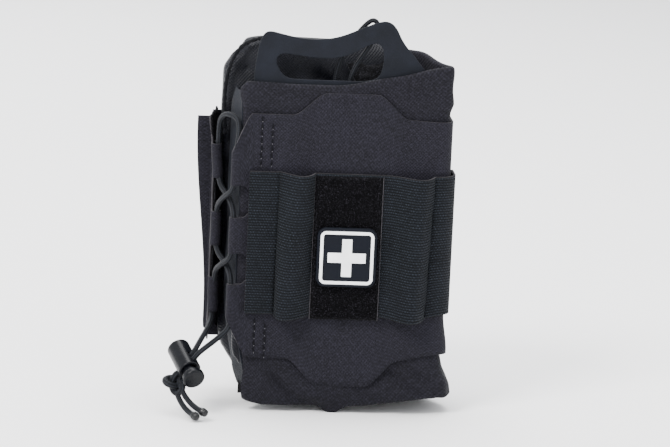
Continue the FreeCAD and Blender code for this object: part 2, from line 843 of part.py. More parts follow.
def lock_spring():
    """Coil spring between the barrel's floor and the plunger."""
    floor = barrel_back + barrel_front - barrel_bore_depth
    start = lock_centre + lock_axis * (floor - barrel_back + spring_wire)
    room = barrel_bore_depth - barrel_front - plunger_stem_back - 2 * spring_wire
    coil_radius = barrel_bore - spring_wire
    steps = 16 * spring_turns
    places = []
    for step in range(steps + 1):
        angle = 2 * math.pi * step * spring_turns / steps
        side = Vector(math.cos(angle), math.sin(angle), 0) * coil_radius
        places.append(side + UP * (room * step / steps))
    helix = Part.BSplineCurve()
    helix.interpolate(places)
    heading = helix.tangent(helix.FirstParameter)[0]
    section = Part.Wire(Part.makeCircle(spring_wire / 2, places[0], heading))
    spring = Part.Wire(helix.toShape()).makePipeShell([section], True, True)
    turn = FreeCAD.Rotation(UP, lock_axis)
    spring.Placement = FreeCAD.Placement(start, turn)
    return spring


def cord_knot():
    """Overhand knot below the lock."""
    return Part.makeSphere(knot_radius, knot_centre)


def main():
    os.makedirs("parts", exist_ok=True)
    patch_back = hook_back_y - hook_thickness
    hook_size = patch_size - 2 * hook_margin
    nodes = {
        "carrier_front_panel": carrier_front_panel(),
        "carrier_back_panel": carrier_back_panel(),
        "side_wing": side_wing(),
        "wing_loop_lining": wing_loop_lining(),
        "mount_panel": mount_panel(),
        "panel_spacer": panel_spacer(),
        "strap_anchors": strap_anchors(),
        "snap_studs": snap_studs(),
        "elastic_band": elastic_band(),
        "loop_field": loop_field(),
        "patch_hook_backing": patch_square(hook_size, hook_back_y, hook_thickness, 3.0),
        "patch_base": patch_square(
            patch_size, patch_back, patch_thickness, patch_corner_radius,
        ),
        "patch_ring": patch_ring(),
        "patch_cross": patch_cross(),
        "lacing_cord": cord("lacing_cord", lacing_route, shock_cord_diameter, lacing_bend),
        "strand_side": cord("strand_side", strand_side_route, shock_cord_diameter),
        "strand_front": cord("strand_front", strand_front_route, shock_cord_diameter),
        "tail_side": cord("tail_side", tail_side_route, shock_cord_diameter),
        "tail_front": cord("tail_front", tail_front_route, shock_cord_diameter),
        "cord_knot": cord_knot(),
        "lock_barrel": lock_barrel(),
        "lock_plunger": lock_plunger(),
        "lock_spring": lock_spring(),
        "insert_front_cover": insert_front_cover(),
        "insert_back_cover": insert_back_cover(),
        "insert_fold_front": insert_fold(fold_front_y, fold_front_depth),
        "insert_fold_middle": insert_fold(fold_middle_y, fold_middle_depth),
        "insert_rear_roll": insert_rear_roll(),
        "insert_side_facing": insert_side_facing(),
        "insert_stiffener": insert_stiffener(),
        "organiser_band_upper": organiser_band(104.0),
        "organiser_band_lower": organiser_band(54.0),
        "closure_hook_strip": closure_strip(0),
        "closure_loop_strip": closure_strip(1),
        "insert_lining_flap": insert_lining_flap(),
        "inner_shock_cord": cord(
            "inner_shock_cord", inner_cord_route, inner_cord_diameter, inner_cord_bend,
        ),
        "pull_handle": handle_plate().common(handle_side(True)),
        "handle_anchor": handle_plate().common(handle_side(False)),
    }
    for side, x in zip(("left", "right"), strap_columns):
        nodes["mount_strap_" + side] = mount_strap(x)
        nodes["snap_cap_" + side] = snap_cap(x)
    for name, shape in nodes.items():
        box_of = shape.BoundBox
        print(name, len(shape.Solids), shape.isValid(), round(shape.Volume),
              [round(v, 1) for v in (box_of.XMin, box_of.XMax, box_of.YMin,
                                     box_of.YMax, box_of.ZMin, box_of.ZMax)])
        shape.exportStep("parts/" + name + ".step")


main()
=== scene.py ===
import math

import bmesh
import bpy
import numpy as np
from mathutils import Matrix, Vector


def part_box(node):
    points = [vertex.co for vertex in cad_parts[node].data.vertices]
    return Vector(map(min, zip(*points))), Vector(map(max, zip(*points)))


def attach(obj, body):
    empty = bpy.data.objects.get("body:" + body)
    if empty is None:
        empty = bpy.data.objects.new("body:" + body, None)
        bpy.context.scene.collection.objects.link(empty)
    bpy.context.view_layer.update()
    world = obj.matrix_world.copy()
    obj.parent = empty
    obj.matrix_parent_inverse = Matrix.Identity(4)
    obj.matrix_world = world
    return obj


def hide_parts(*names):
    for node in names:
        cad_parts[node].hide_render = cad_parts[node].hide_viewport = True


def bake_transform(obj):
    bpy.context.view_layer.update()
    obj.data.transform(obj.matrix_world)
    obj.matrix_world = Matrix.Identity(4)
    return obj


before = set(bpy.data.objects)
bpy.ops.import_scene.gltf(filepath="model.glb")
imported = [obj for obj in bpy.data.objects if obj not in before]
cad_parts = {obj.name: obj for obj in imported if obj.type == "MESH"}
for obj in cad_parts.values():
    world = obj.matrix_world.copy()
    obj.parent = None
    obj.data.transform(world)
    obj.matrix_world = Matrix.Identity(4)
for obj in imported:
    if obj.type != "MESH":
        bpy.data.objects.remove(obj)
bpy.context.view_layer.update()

# Pieces are worked out in millimetres and stored in metres. UV maps are in decimetres of cloth.
MM = 0.001
UV_UNIT = 100.0


def corners(node):
    """Lowest and highest corner of a frame node, in millimetres."""
    low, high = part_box(node)
    return np.array(low) / MM, np.array(high) / MM


panel_low, panel_high = corners("carrier_front_panel")
band_low, band_high = corners("elastic_band")
field_low, field_high = corners("loop_field")
patch_low, patch_high = corners("patch_base")
wing_low = corners("side_wing")[0]
back_low = corners("carrier_back_panel")[0]
mount_low = corners("mount_panel")[0]
handle_low = corners("pull_handle")[0]

# Shared places
HEM_RADIUS = 2.9
HEM_DEPTH = 0.7
FACE_Y = panel_low[1] + HEM_RADIUS - HEM_DEPTH
HEM_X = panel_low[0] + HEM_RADIUS
HEM_Y = FACE_Y + HEM_DEPTH
HEM_POINTS = 30
HEM_TURNED = 20
WRAP_RADIUS = 8.0
WRAP_X = panel_high[0] - WRAP_RADIUS
CARRIER_BOTTOM = 30.5
CARRIER_TOP = 167.0
TAB_X = (patch_low[0] + patch_high[0]) / 2
FRONT_TUBES = ((50.0, 71.6), (89.0, 109.0), (127.0, 148.0))
WING_TUBES = ((51.4, 71.0), (89.0, 108.0), (127.0, 146.0))
WING_TOP = 160.0
WINDOW_END = HEM_X + 9.4
WINDOW_START = HEM_X + 3.4
STITCH_ROWS = (-36.0, -30.2)
CORD_DIAMETER = 3.0
INNER_CORD_DIAMETER = 2.6
WEBBING_GRID = 38.1
WEBBING_WIDTH = 25.4


# ---------------------------------------------------------------- camera

def place_camera():
    """A long lens a little above and to the left of the front, leaning as the pouch leans."""
    azimuth = math.radians(-4.0)
    height = math.radians(11.0)
    lean = math.radians(2.6)
    distance = 1.9
    width_seen = 368.5 * MM
    back = Vector((math.sin(azimuth) * math.cos(height), -math.cos(azimuth) * math.cos(height),
                   math.sin(height)))
    right = Vector((math.cos(azimuth), math.sin(azimuth), 0.0))
    up = back.cross(right)
    leaning_right = right * math.cos(lean) + up * math.sin(lean)
    leaning_up = up * math.cos(lean) - right * math.sin(lean)
    aim = Vector((9.3, FACE_Y, 98.3)) * MM
    aim = aim - leaning_right * 2.75 * MM + leaning_up * 9.1 * MM
    data = bpy.data.cameras.new("camera")
    data.sensor_width = 36.0
    data.lens = data.sensor_width * distance / width_seen
    data.clip_end = 20.0
    camera = bpy.data.objects.new("camera", data)
    turn = Matrix((leaning_right, leaning_up, back)).transposed()
    camera.matrix_world = Matrix.Translation(aim + back * distance) @ turn.to_4x4()
    bpy.context.scene.collection.objects.link(camera)
    bpy.context.scene.camera = camera


# ---------------------------------------------------------------- shader building

class Finish:
    """A material and the few node steps that every finish here is made of."""

    def __init__(self, name, colour, roughness, specular=0.3, sheen=0.0):
        self.material = bpy.data.materials.new(name)
        self.material.use_nodes = True
        self.tree = self.material.node_tree
        self.surface = self.tree.nodes["Principled BSDF"]
        self.surface.inputs["Base Color"].default_value = (*colour, 1.0)
        self.surface.inputs["Roughness"].default_value = roughness
        self.surface.inputs["Specular IOR Level"].default_value = specular
        self.surface.inputs["Sheen Weight"].default_value = sheen * 0.15
        self.surface.inputs["Sheen Roughness"].default_value = 0.5

    def node(self, kind, **settings):
        """A new shader node with its settings."""
        made = self.tree.nodes.new(kind)
        for key, value in settings.items():
            setattr(made, key, value)
        return made

    def feed(self, socket, value):
        """Link a socket, or set a plain number or vector."""
        if isinstance(value, bpy.types.NodeSocket):
            self.tree.links.new(value, socket)
        else:
            socket.default_value = value

    def place(self, source, scale):
        """A pattern's coordinates: the cloth's UV map or the object's own space, scaled."""
        coordinates = self.node("ShaderNodeTexCoord")
        mapping = self.node("ShaderNodeMapping")
        self.feed(mapping.inputs["Vector"], coordinates.outputs[source])
        mapping.inputs["Scale"].default_value = scale
        return mapping.outputs["Vector"]

    def split(self, vector):
        """The first two coordinates of a place."""
        parts = self.node("ShaderNodeSeparateXYZ")
        self.feed(parts.inputs[0], vector)
        return parts.outputs[0], parts.outputs[1]

    def math(self, operation, first, second=0.0):
        """One step of arithmetic."""
        step = self.node("ShaderNodeMath", operation=operation)
        self.feed(step.inputs[0], first)
        self.feed(step.inputs[1], second)
        return step.outputs[0]

    def times(self, first, second):
        """Product of two values."""
        return self.math("MULTIPLY", first, second)

    def plus(self, first, second):
        """Sum of two values."""
        return self.math("ADD", first, second)

    def sine(self, value):
        """Sine of a value in radians."""
        return self.math("SINE", value)

    def noise(self, vector, scale, detail=3.0, roughness=0.55):
        """An even cloud of tones from 0 to 1."""
        cloud = self.node("ShaderNodeTexNoise")
        self.feed(cloud.inputs["Vector"], vector)
        cloud.inputs["Scale"].default_value = scale
        cloud.inputs["Detail"].default_value = detail
        cloud.inputs["Roughness"].default_value = roughness
        return cloud.outputs["Fac"]

    def between(self, value, low, high, to_low=0.0, to_high=1.0):
        """Stretch a value from one range to another, held at both ends."""
        step = self.node("ShaderNodeMapRange")
        self.feed(step.inputs["Value"], value)
        step.inputs["From Min"].default_value = low
        step.inputs["From Max"].default_value = high
        step.inputs["To Min"].default_value = to_low
        step.inputs["To Max"].default_value = to_high
        return step.outputs["Result"]

    def mix(self, amount, first, second):
        """Blend two colours."""
        step = self.node("ShaderNodeMix", data_type="RGBA")
        self.feed(step.inputs["Factor"], amount)
        for socket, value in ((step.inputs[6], first), (step.inputs[7], second)):
            if isinstance(value, bpy.types.NodeSocket):
                self.feed(socket, value)
            else:
                socket.default_value = (*value, 1.0)
        return step.outputs[2]

    def weave(self, pitch_across, pitch_along):
        """Plain weave: the product of two sine waves, one along each thread direction."""
        vector = self.place("UV", (UV_UNIT, UV_UNIT, 1.0))
        across, along = self.split(vector)
        warp = self.sine(self.times(across, math.pi / pitch_across))
        weft = self.sine(self.times(along, math.pi / pitch_along))
        return self.between(self.times(warp, weft), -1.0, 1.0)

    def use(self, colour=None, height=None, depth=0.1, roughness=None):
        """Join a colour, a height in millimetres and a roughness to the surface."""
        if colour is not None:
            self.feed(self.surface.inputs["Base Color"], colour)
        if roughness is not None:
            self.feed(self.surface.inputs["Roughness"], roughness)
        if height is not None:
            bump = self.node("ShaderNodeBump")
            bump.inputs["Distance"].default_value = depth * MM
            bump.inputs["Strength"].default_value = 1.0
            self.feed(bump.inputs["Height"], height)
            self.feed(self.surface.inputs["Normal"], bump.outputs["Normal"])
        return self.material


def shade(colour, factor):
    """A colour made lighter or darker."""
    return tuple(channel * factor for channel in colour)


def woven_cloth(name, colour, pitch, roughness, sheen, hollow_shade_amount=0.35, thread_highlight_amount=0.6):
    """Plain-woven nylon: thread checks, uneven threads, and slow changes of tone. The weave's hollows
    are darkened as painted shade, and the raised threads lightened as painted highlights.
    """
    finish = Finish(name, colour, roughness, 0.12, sheen)
    check = finish.weave(pitch, pitch)
    cloth = finish.place("UV", (UV_UNIT, UV_UNIT, 1.0))
    level = finish.place("UV", (0.4 * UV_UNIT, UV_UNIT, 1.0))
    upright = finish.place("UV", (UV_UNIT, 0.4 * UV_UNIT, 1.0))
    both = finish.plus(finish.noise(level, 1.1 / pitch, 2.0),
                       finish.noise(upright, 1.1 / pitch, 2.0))
    threads = finish.times(both, 0.5)
    tone = finish.noise(cloth, 0.05, 5.0, 0.62)
    # Lighter flecks where the uneven threads stand highest in the bump: painted highlights on the
    # raised threads.
    raised_thread_mask = finish.between(threads, 0.45, 0.6)
    light = finish.mix(finish.between(tone, 0.33, 0.67), shade(colour, 0.72), shade(colour, 1.35))
    thread_highlight = finish.mix(finish.times(raised_thread_mask, thread_highlight_amount), light, shade(colour, 2.7))
    # Darker where the weave check sinks in the bump: painted shade in the weave's hollows.
    dark = finish.mix(finish.times(check, hollow_shade_amount), thread_highlight, shade(colour, 0.2))
    height = finish.plus(finish.times(check, -0.7), finish.times(threads, 0.9))
    rough = finish.between(tone, 0.2, 0.8, roughness - 0.06, roughness + 0.06)
    return finish.use(dark, height, 0.3, rough)


def ribbed_elastic(name, colour, rib):
    """Knitted elastic: level ribs, each crossed by short stitches that stagger row by row, with
    painted shade in the grooves between ribs and painted highlights on the raised stitches.
    """
    finish = Finish(name, colour, 0.8, 0.1, 0.1)
    vector = finish.place("UV", (UV_UNIT, UV_UNIT, 1.0))
    across, along = finish.split(vector)
    row = finish.times(along, 1.0 / rib)
    ridge = finish.math("ABSOLUTE", finish.sine(finish.times(row, math.pi)))
    shift = finish.times(finish.math("FLOOR", row), 0.5)
    stitch = finish.plus(finish.times(across, 1.0 / 1.5), shift)
    loop = finish.sine(finish.times(stitch, 2 * math.pi))
    loop = finish.between(loop, -0.6, 1.0)
    tone = finish.noise(vector, 0.08, 3.0)
    fibre = finish.noise(vector, 1.1, 2.0)
    base = finish.mix(finish.between(tone, 0.3, 0.7), shade(colour, 0.8), shade(colour, 1.3))
    raised = finish.times(finish.between(ridge, 0.25, 0.95), loop)
    # Grooves between the ribs darkened almost to black: painted shade.
    groove_shaded = finish.mix(finish.between(ridge, 0.1, 0.8), shade(colour, 0.12), base)
    # Raised stitches lightened up to 4.2 times, flecked by fibre noise: painted highlights.
    bright = finish.times(raised, finish.between(fibre, 0.42, 0.62))
    shaded_and_highlighted = finish.mix(bright, groove_shaded, shade(colour, 4.2))
    height = finish.plus(ridge, finish.times(raised, 0.5))
    return finish.use(shaded_and_highlighted, height, 0.5)


def pile(name, colour):
    """Loop pile: a dull tangle of fine loops, darker in its hollows as painted shade, with painted
    glints on a few strands.
    """
    finish = Finish(name, colour, 0.95, 0.05, 0.1)
    cloth = finish.place("Object", (1000.0, 1000.0, 1000.0))
    tangle = finish.noise(cloth, 0.9, 4.0, 0.7)
    strands = finish.noise(cloth, 1.5, 3.0, 0.65)
    # Darker where the tangle sinks in the bump and lighter where it rises: painted shade and painted
    # light.
    base = finish.mix(finish.between(tangle, 0.35, 0.65), shade(colour, 0.3), shade(colour, 1.6))
    # Painted glints: a few strands lifted to fifteen times the pile's colour.
    glint = finish.between(strands, 0.54, 0.66)
    return finish.use(finish.mix(glint, base, shade(colour, 15.0)), tangle, 0.6)


def moulded(name, colour, roughness, grain, specular=0.4):
    """Moulded plastic or rubber: fine grain, faint scuffs and uneven gloss."""
    finish = Finish(name, colour, roughness, specular)
    body = finish.place("Object", (1000.0, 1000.0, 1000.0))
    fine = finish.noise(body, grain, 3.0)
    slow = finish.noise(body, 0.12, 3.0)
    scuff = finish.between(finish.noise(body, 0.9, 6.0, 0.75), 0.6, 0.72)
    tone = finish.mix(finish.between(slow, 0.3, 0.7), shade(colour, 0.9), shade(colour, 1.12))
    marked = finish.mix(finish.times(scuff, 0.25), tone, shade(colour, 1.6))
    rough = finish.between(slow, 0.3, 0.7, roughness - 0.07, roughness + 0.08)
    return finish.use(marked, fine, 0.03, rough)


def braided_sheath(name, colour):
    """Braided cord cover: two crossing spirals of yarn, darker in their hollows as painted shade, with
    painted highlights in lines along the cord.
    """
    finish = Finish(name, colour, 0.65, 0.15, 0.1)
    vector = finish.place("UV", (UV_UNIT, 1.0, 1.0))
    along, around = finish.split(vector)
    length = finish.times(along, 2 * math.pi / 2.4)
    turn = finish.times(around, 2 * math.pi * 4.0)
    left = finish.sine(finish.plus(length, turn))
    right = finish.sine(finish.math("SUBTRACT", length, turn))
    cross = finish.between(finish.times(left, right), -1.0, 1.0)
    # Lines along the cord lifted to six times its colour, with no matching rise in the bump: painted
    # highlights.
    ridge = finish.between(finish.sine(finish.times(around, 2 * math.pi * 6.0)), 0.2, 1.0)
    # Darker where the braid sinks in the bump and lighter where it rises: painted shade and painted
    # light.
    base = finish.mix(cross, shade(colour, 0.4), shade(colour, 1.5))
    lit = finish.mix(finish.times(ridge, 0.4), base, shade(colour, 6.0))
    return finish.use(lit, cross, 0.2)


def webbing(name, colour, source="UV", scale=UV_UNIT):
    """Nylon webbing: narrow zigzag columns of yarn, darker in their hollows as painted shade."""
    finish = Finish(name, colour, 0.75, 0.12, 0.1)
    vector = finish.place(source, (scale, scale, scale))
    across, along = finish.split(vector)
    column = finish.math("PINGPONG", across, 1.6)
    slant = finish.plus(along, column)
    yarn = finish.sine(finish.times(slant, 2 * math.pi / 1.3))
    yarn = finish.between(yarn, -1.0, 1.0)
    fibre = finish.noise(vector, 2.5, 3.0)
    # Darker where the yarn sinks in the bump and lighter where it rises: painted shade and painted
    # light.
    base = finish.mix(yarn, shade(colour, 0.45), shade(colour, 1.35))
    lit = finish.mix(finish.times(finish.between(fibre, 0.5, 0.8), 0.4), base, shade(colour, 2.2))
    return finish.use(lit, yarn, 0.25)


def make_finishes():
    """Every finish of the pouch, by name."""
    ink = (0.0088, 0.0083, 0.0122)
    return {
        "laminate": woven_cloth("laminate", ink, 0.95, 0.85, 0.1, 0.6, 0.6),
        "cut_edge": woven_cloth("cut_edge", (0.034, 0.032, 0.036), 0.5, 0.85, 0.1, 0.2, 0.2),
        "cover": woven_cloth("cover_cloth", (0.0070, 0.0066, 0.0097), 1.05, 0.85, 0.14, 0.65, 0.7),
        "roll": woven_cloth("fine_nylon", (0.0050, 0.0054, 0.0080), 0.9, 0.42, 0.1, 0.3, 0.3),
        "slate": woven_cloth("smooth_laminate", (0.0066, 0.0078, 0.0116), 0.4, 0.7, 0.05, 0.1, 0.08),
        "elastic": ribbed_elastic("ribbed_elastic", (0.0052, 0.0064, 0.0086), 1.5),
        "pile": pile("loop_pile", (0.0016, 0.0015, 0.0019)),
        "lining": pile("wing_pile", (0.0017, 0.0017, 0.0021)),
        "rubber_dark": moulded("patch_rubber", (0.0030, 0.0040, 0.0072), 0.6, 4.0, 0.1),
        "rubber_white": moulded("patch_white", (0.92, 0.93, 0.94), 0.5, 4.0, 0.3),
        "hook": moulded("hook_base", (0.004, 0.004, 0.005), 0.7, 2.0, 0.2),
        "sheath": braided_sheath("cord_sheath", (0.0034, 0.0040, 0.0056)),
        "melt": moulded("sealed_end", (0.0024, 0.0027, 0.0036), 0.3, 1.2, 0.35),
        "acetal": moulded("lock_acetal", (0.0022, 0.0027, 0.0040), 0.26, 3.0, 0.16),
        "webbing": webbing("strap_webbing", (0.0032, 0.0034, 0.0046)),
        "webbing_solid": webbing("anchor_webbing", (0.0032, 0.0034, 0.0046), "Object", 1000.0),
        "wire": moulded("spring_wire", (0.45, 0.45, 0.46), 0.3, 2.0, 0.6),
        "enamel": moulded("snap_enamel", (0.006, 0.006, 0.007), 0.3, 2.0, 0.4),
        "thread": moulded("sewing_thread", (0.0016, 0.0016, 0.0030), 0.6, 6.0, 0.1),
        "needle": moulded("needle_mark", (0.09, 0.088, 0.095), 0.7, 6.0),
    }


# ---------------------------------------------------------------- mesh building

def corner_points(mesh):
    """The point that each face corner of a mesh stands on."""
    points = np.zeros(len(mesh.loops), dtype=np.int64)
    mesh.loops.foreach_get("vertex_index", points)
    return points


def points_of(mesh):
    """A mesh's points in metres, one row each."""
    points = np.zeros(len(mesh.vertices) * 3)
    mesh.vertices.foreach_get("co", points)
    return points.reshape(-1, 3)


def smooth_faces(mesh):
    """Shade every face of a mesh smoothly."""
    mesh.polygons.foreach_set("use_smooth", [True] * len(mesh.polygons))


def add_object(name, data):
    """A new object in the scene for a mesh or a lamp."""
    made = bpy.data.objects.new(name, data)
    bpy.context.scene.collection.objects.link(made)
    return made


def build(name, verts, faces, uv, finishes):
    """A mesh object from an array of points in millimetres and an array of faces."""
    mesh = bpy.data.meshes.new(name)
    mesh.from_pydata((np.asarray(verts) * MM).tolist(), [], np.asarray(faces).tolist())
    if uv is not None:
        layer = mesh.uv_layers.new(name="UVMap")
        layer.data.foreach_set("uv", (np.asarray(uv)[corner_points(mesh)] / UV_UNIT).ravel())
    smooth_faces(mesh)
    for finish in finishes:
        mesh.materials.append(finish)
    return add_object(name, mesh)


def lattice(x, y, z):
    """A grid of points from three coordinates that are spread against each other."""
    return np.stack(np.broadcast_arrays(x, y, z), -1).astype(float)


def quads(rows, columns, wrap_columns=False):
    """Faces of a grid of rows by columns, wound so that rows x columns points outwards."""
    r = np.arange(rows - 1)[:, None]
    c = np.arange(columns if wrap_columns else columns - 1)[None, :]
    after = (c + 1) % columns
    corners_of = (r * columns + c, (r + 1) * columns + c, (r + 1) * columns + after,
                  r * columns + after)
    return np.stack(np.broadcast_arrays(*corners_of), -1).reshape(-1, 4)


def arc_length(points):
    """Distance along the first axis of an array of points, from its start."""
    steps = np.linalg.norm(np.diff(points, axis=0), axis=-1)
    zero = np.zeros((1,) + steps.shape[1:])
    return np.concatenate([zero, np.cumsum(steps, axis=0)], axis=0)


def cloth_uv(grid):
    """UV in millimetres: the distance along each column and along each row, averaged."""
    down = arc_length(grid).mean(axis=1)
    along = arc_length(np.swapaxes(grid, 0, 1)).mean(axis=1)
    u, v = np.meshgrid(along, down)
    return np.stack([u, v], -1).reshape(-1, 2)


def sheet(name, grid, finish, thickness=0.0, outwards=1.0, edge=None):
    """One cloth surface from a grid of points, given a thickness behind its face."""
    faces = quads(*grid.shape[:2])
    if outwards < 0:
        faces = faces[:, ::-1]
    finishes = [finish] + ([edge] if edge else [])
    made = build(name, grid.reshape(-1, 3), faces, cloth_uv(grid), finishes)
    thicken(made, thickness, bool(edge))
    return made


def thicken(made, thickness, cut_edge=False):
    """Give a surface its cloth thickness, behind the face that points outwards."""
    if thickness:
        solid = made.modifiers.new("thickness", "SOLIDIFY")
        solid.thickness = thickness * MM
        solid.offset = -1.0
        if cut_edge:
            solid.material_offset_rim = 1


def subdivide(made, levels):
    """Round a piece off by splitting its faces."""
    smooth = made.modifiers.new("smooth", "SUBSURF")
    smooth.levels = levels
    smooth.render_levels = levels


def bevel(made, width, segments, angle):
    """Soften the edges of a piece that are sharper than an angle in degrees."""
    edge = made.modifiers.new("bevel", "BEVEL")
    edge.width = width * MM
    edge.segments = segments
    edge.limit_method = "ANGLE"
    edge.angle_limit = math.radians(angle)
    edge.harden_normals = False


def smoothstep(low, high, value):
    """0 below low, 1 above high, and a smooth rise between."""
    t = np.clip((value - low) / (high - low), 0.0, 1.0)
    return t * t * (3 - 2 * t)


def soft_ramp(value, width):
    """0 below zero, the value above it, joined by a parabola of the given half width."""
    bend = (value + width) ** 2 / (4 * width)
    return np.where(value < -width, 0.0, np.where(value > width, value, bend))


def ripple(a, b, seed, wave):
    """Sum of six seeded sine waves in all directions, about -1 to 1, for uneven cloth."""
    rng = np.random.default_rng(seed)
    total = 0.0
    for _ in range(6):
        way = rng.uniform(0, 2 * math.pi)
        length = wave * rng.uniform(0.6, 1.7)
        phase = rng.uniform(0, 2 * math.pi)
        run = a * math.cos(way) + b * math.sin(way)
        total = total + np.sin(run * 2 * math.pi / length + phase)
    return total / 6 * 1.6


def crease(a, b, start, end, width, depth):
    """A groove or ridge: a bell curve of the distance to the line from start to end."""
    start = np.array(start, float)
    way = np.array(end, float) - start
    t = ((a - start[0]) * way[0] + (b - start[1]) * way[1]) / (way @ way)
    t = np.clip(t, 0.0, 1.0)
    gap = np.hypot(a - start[0] - t * way[0], b - start[1] - t * way[1])
    fade = np.sin(math.pi * np.clip(t * 0.9 + 0.05, 0, 1)) ** 0.5
    return depth * np.exp(-((gap / width) ** 2)) * fade


def turn_frames(points):
    """Two directions across a path at each of its points, carried along without twist."""
    tangents = np.gradient(points, axis=0)
    tangents /= np.linalg.norm(tangents, axis=1)[:, None]
    first = np.cross(tangents[0], [0.31, 0.23, 0.92])
    first /= np.linalg.norm(first)
    sides = [first]
    for tangent in tangents[1:]:
        side = sides[-1] - tangent * (sides[-1] @ tangent)
        sides.append(side / np.linalg.norm(side))
    sides = np.array(sides)
    return tangents, sides, np.cross(tangents, sides)


def tube(name, points, radius, finish, around):
    """A round tube along a path, its ends drawn in to closed caps. The radius may be one number,
    or one for each point."""
    points = np.asarray(points, float)
    tangents, side, other = turn_frames(points)
    size = np.zeros(len(points)) + radius
    start_cap = [points[0] - tangents[0] * size[0] * k for k in (0.42, 0.3)]
    end_cap = [points[-1] + tangents[-1] * size[-1] * k for k in (0.3, 0.42)]
    spine = np.vstack([start_cap, points, end_cap])
    side = np.vstack([side[:1], side[:1], side, side[-1:], side[-1:]])
    other = np.vstack([other[:1], other[:1], other, other[-1:], other[-1:]])
    size = np.concatenate([size[0] * np.array([0.02, 0.7]), size, size[-1] * np.array([0.7, 0.02])])
    angle = np.linspace(0, 2 * math.pi, around + 1)
    ring = (side[:, None] * np.cos(angle)[None, :, None]
            + other[:, None] * np.sin(angle)[None, :, None])
    grid = spine[:, None] + ring * size[:, None, None]
    length = arc_length(spine)
    u, v = np.meshgrid(length, angle / (2 * math.pi) * UV_UNIT, indexing="ij")
    faces = quads(len(spine), around + 1)[:, ::-1]
    uv = np.stack([u, v], -1).reshape(-1, 2)
    made = build(name, grid.reshape(-1, 3), faces, uv, [finish])
    weld(made, 0.0004)
    return made


def edit(mesh, step):
    """Run an editing step on a mesh, turn its faces outwards and store it again."""
    work = bmesh.new()
    work.from_mesh(mesh)
    step(work)
    bmesh.ops.recalc_face_normals(work, faces=work.faces)
    work.to_mesh(mesh)
    work.free()


def weld(made, distance):
    """Merge points that meet, so that seams and poles are closed."""
    def step(work):
        bmesh.ops.remove_doubles(work, verts=work.verts, dist=distance * MM)
    edit(made.data, step)


def close_ends(made, cut):
    """Fill a piece's open ends, cut into triangles where asked."""
    def step(work):
        rim = [edge for edge in work.edges if edge.is_boundary]
        bmesh.ops.holes_fill(work, edges=rim, sides=0)
        if cut:
            large = [face for face in work.faces if len(face.verts) > 4]
            bmesh.ops.triangulate(work, faces=large)
    edit(made.data, step)


def join(name, pieces):
    """Several objects made one, keeping their finishes."""
    bpy.ops.object.select_all(action="DESELECT")
    for piece in pieces:
        piece.select_set(True)
    bpy.context.view_layer.objects.active = pieces[0]
    bpy.ops.object.join()
    pieces[0].name = name
    pieces[0].data.name = name
    return pieces[0]


def apply_modifiers(made):
    """Replace a piece's mesh by what its modifiers make of it."""
    graph = bpy.context.evaluated_depsgraph_get()
    final = bpy.data.meshes.new_from_object(made.evaluated_get(graph))
    made.modifiers.clear()
    made.data = final
    return made


def copy_of(node, name, finish, width):
    """A frame node's own shape, merged, with its edges softened."""
    def step(work):
        bmesh.ops.remove_doubles(work, verts=work.verts, dist=0.002 * MM)
        bmesh.ops.dissolve_limit(work, angle_limit=math.radians(1.0), verts=work.verts,
                                 edges=work.edges)
    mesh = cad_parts[node].data.copy()
    mesh.name = name
    made = add_object(name, mesh)
    edit(mesh, step)
    mesh.materials.clear()
    mesh.materials.append(finish)
    smooth_faces(mesh)
    bevel(made, width, 3, 30.0)
    shading = made.modifiers.new("normals", "WEIGHTED_NORMAL")
    shading.keep_sharp = True
    return made


def stitches(name, starts, ends, finish, thick):
    """Sewn dashes: short bowed six-sided threads, one from each start to each end."""
    starts = np.asarray(starts, float)
    ends = np.asarray(ends, float)
    steps = 6
    sides = 6
    forward = np.array([0.0, -1.0, 0.0])
    t = np.linspace(0, 1, steps)
    centre = starts[:, None] * (1 - t)[None, :, None] + ends[:, None] * t[None, :, None]
    way = ends - starts
    way = way / np.linalg.norm(way, axis=1)[:, None]
    lift = np.sin(math.pi * t) ** 0.5 * thick * 0.7
    centre = centre + forward * lift[None, :, None]
    angle = np.linspace(0, 2 * math.pi, sides, endpoint=False)
    across = np.cross(way, forward)
    across = across / np.linalg.norm(across, axis=1)[:, None]
    size = thick * np.array([0.35, 0.9, 1.0, 1.0, 0.9, 0.35])
    ring = (across[:, None, None] * np.cos(angle)[None, None, :, None]
            + forward * np.sin(angle)[None, None, :, None] * 0.6)
    grid = centre[:, :, None] + ring * size[None, :, None, None]
    faces = quads(steps, sides, True)[:, ::-1]
    first = np.arange(len(starts))[:, None, None] * steps * sides
    made = build(name, grid.reshape(-1, 3), (faces[None] + first).reshape(-1, 4), None, [finish])
    close_ends(made, False)
    return made


SWELL_FRAMES = 20


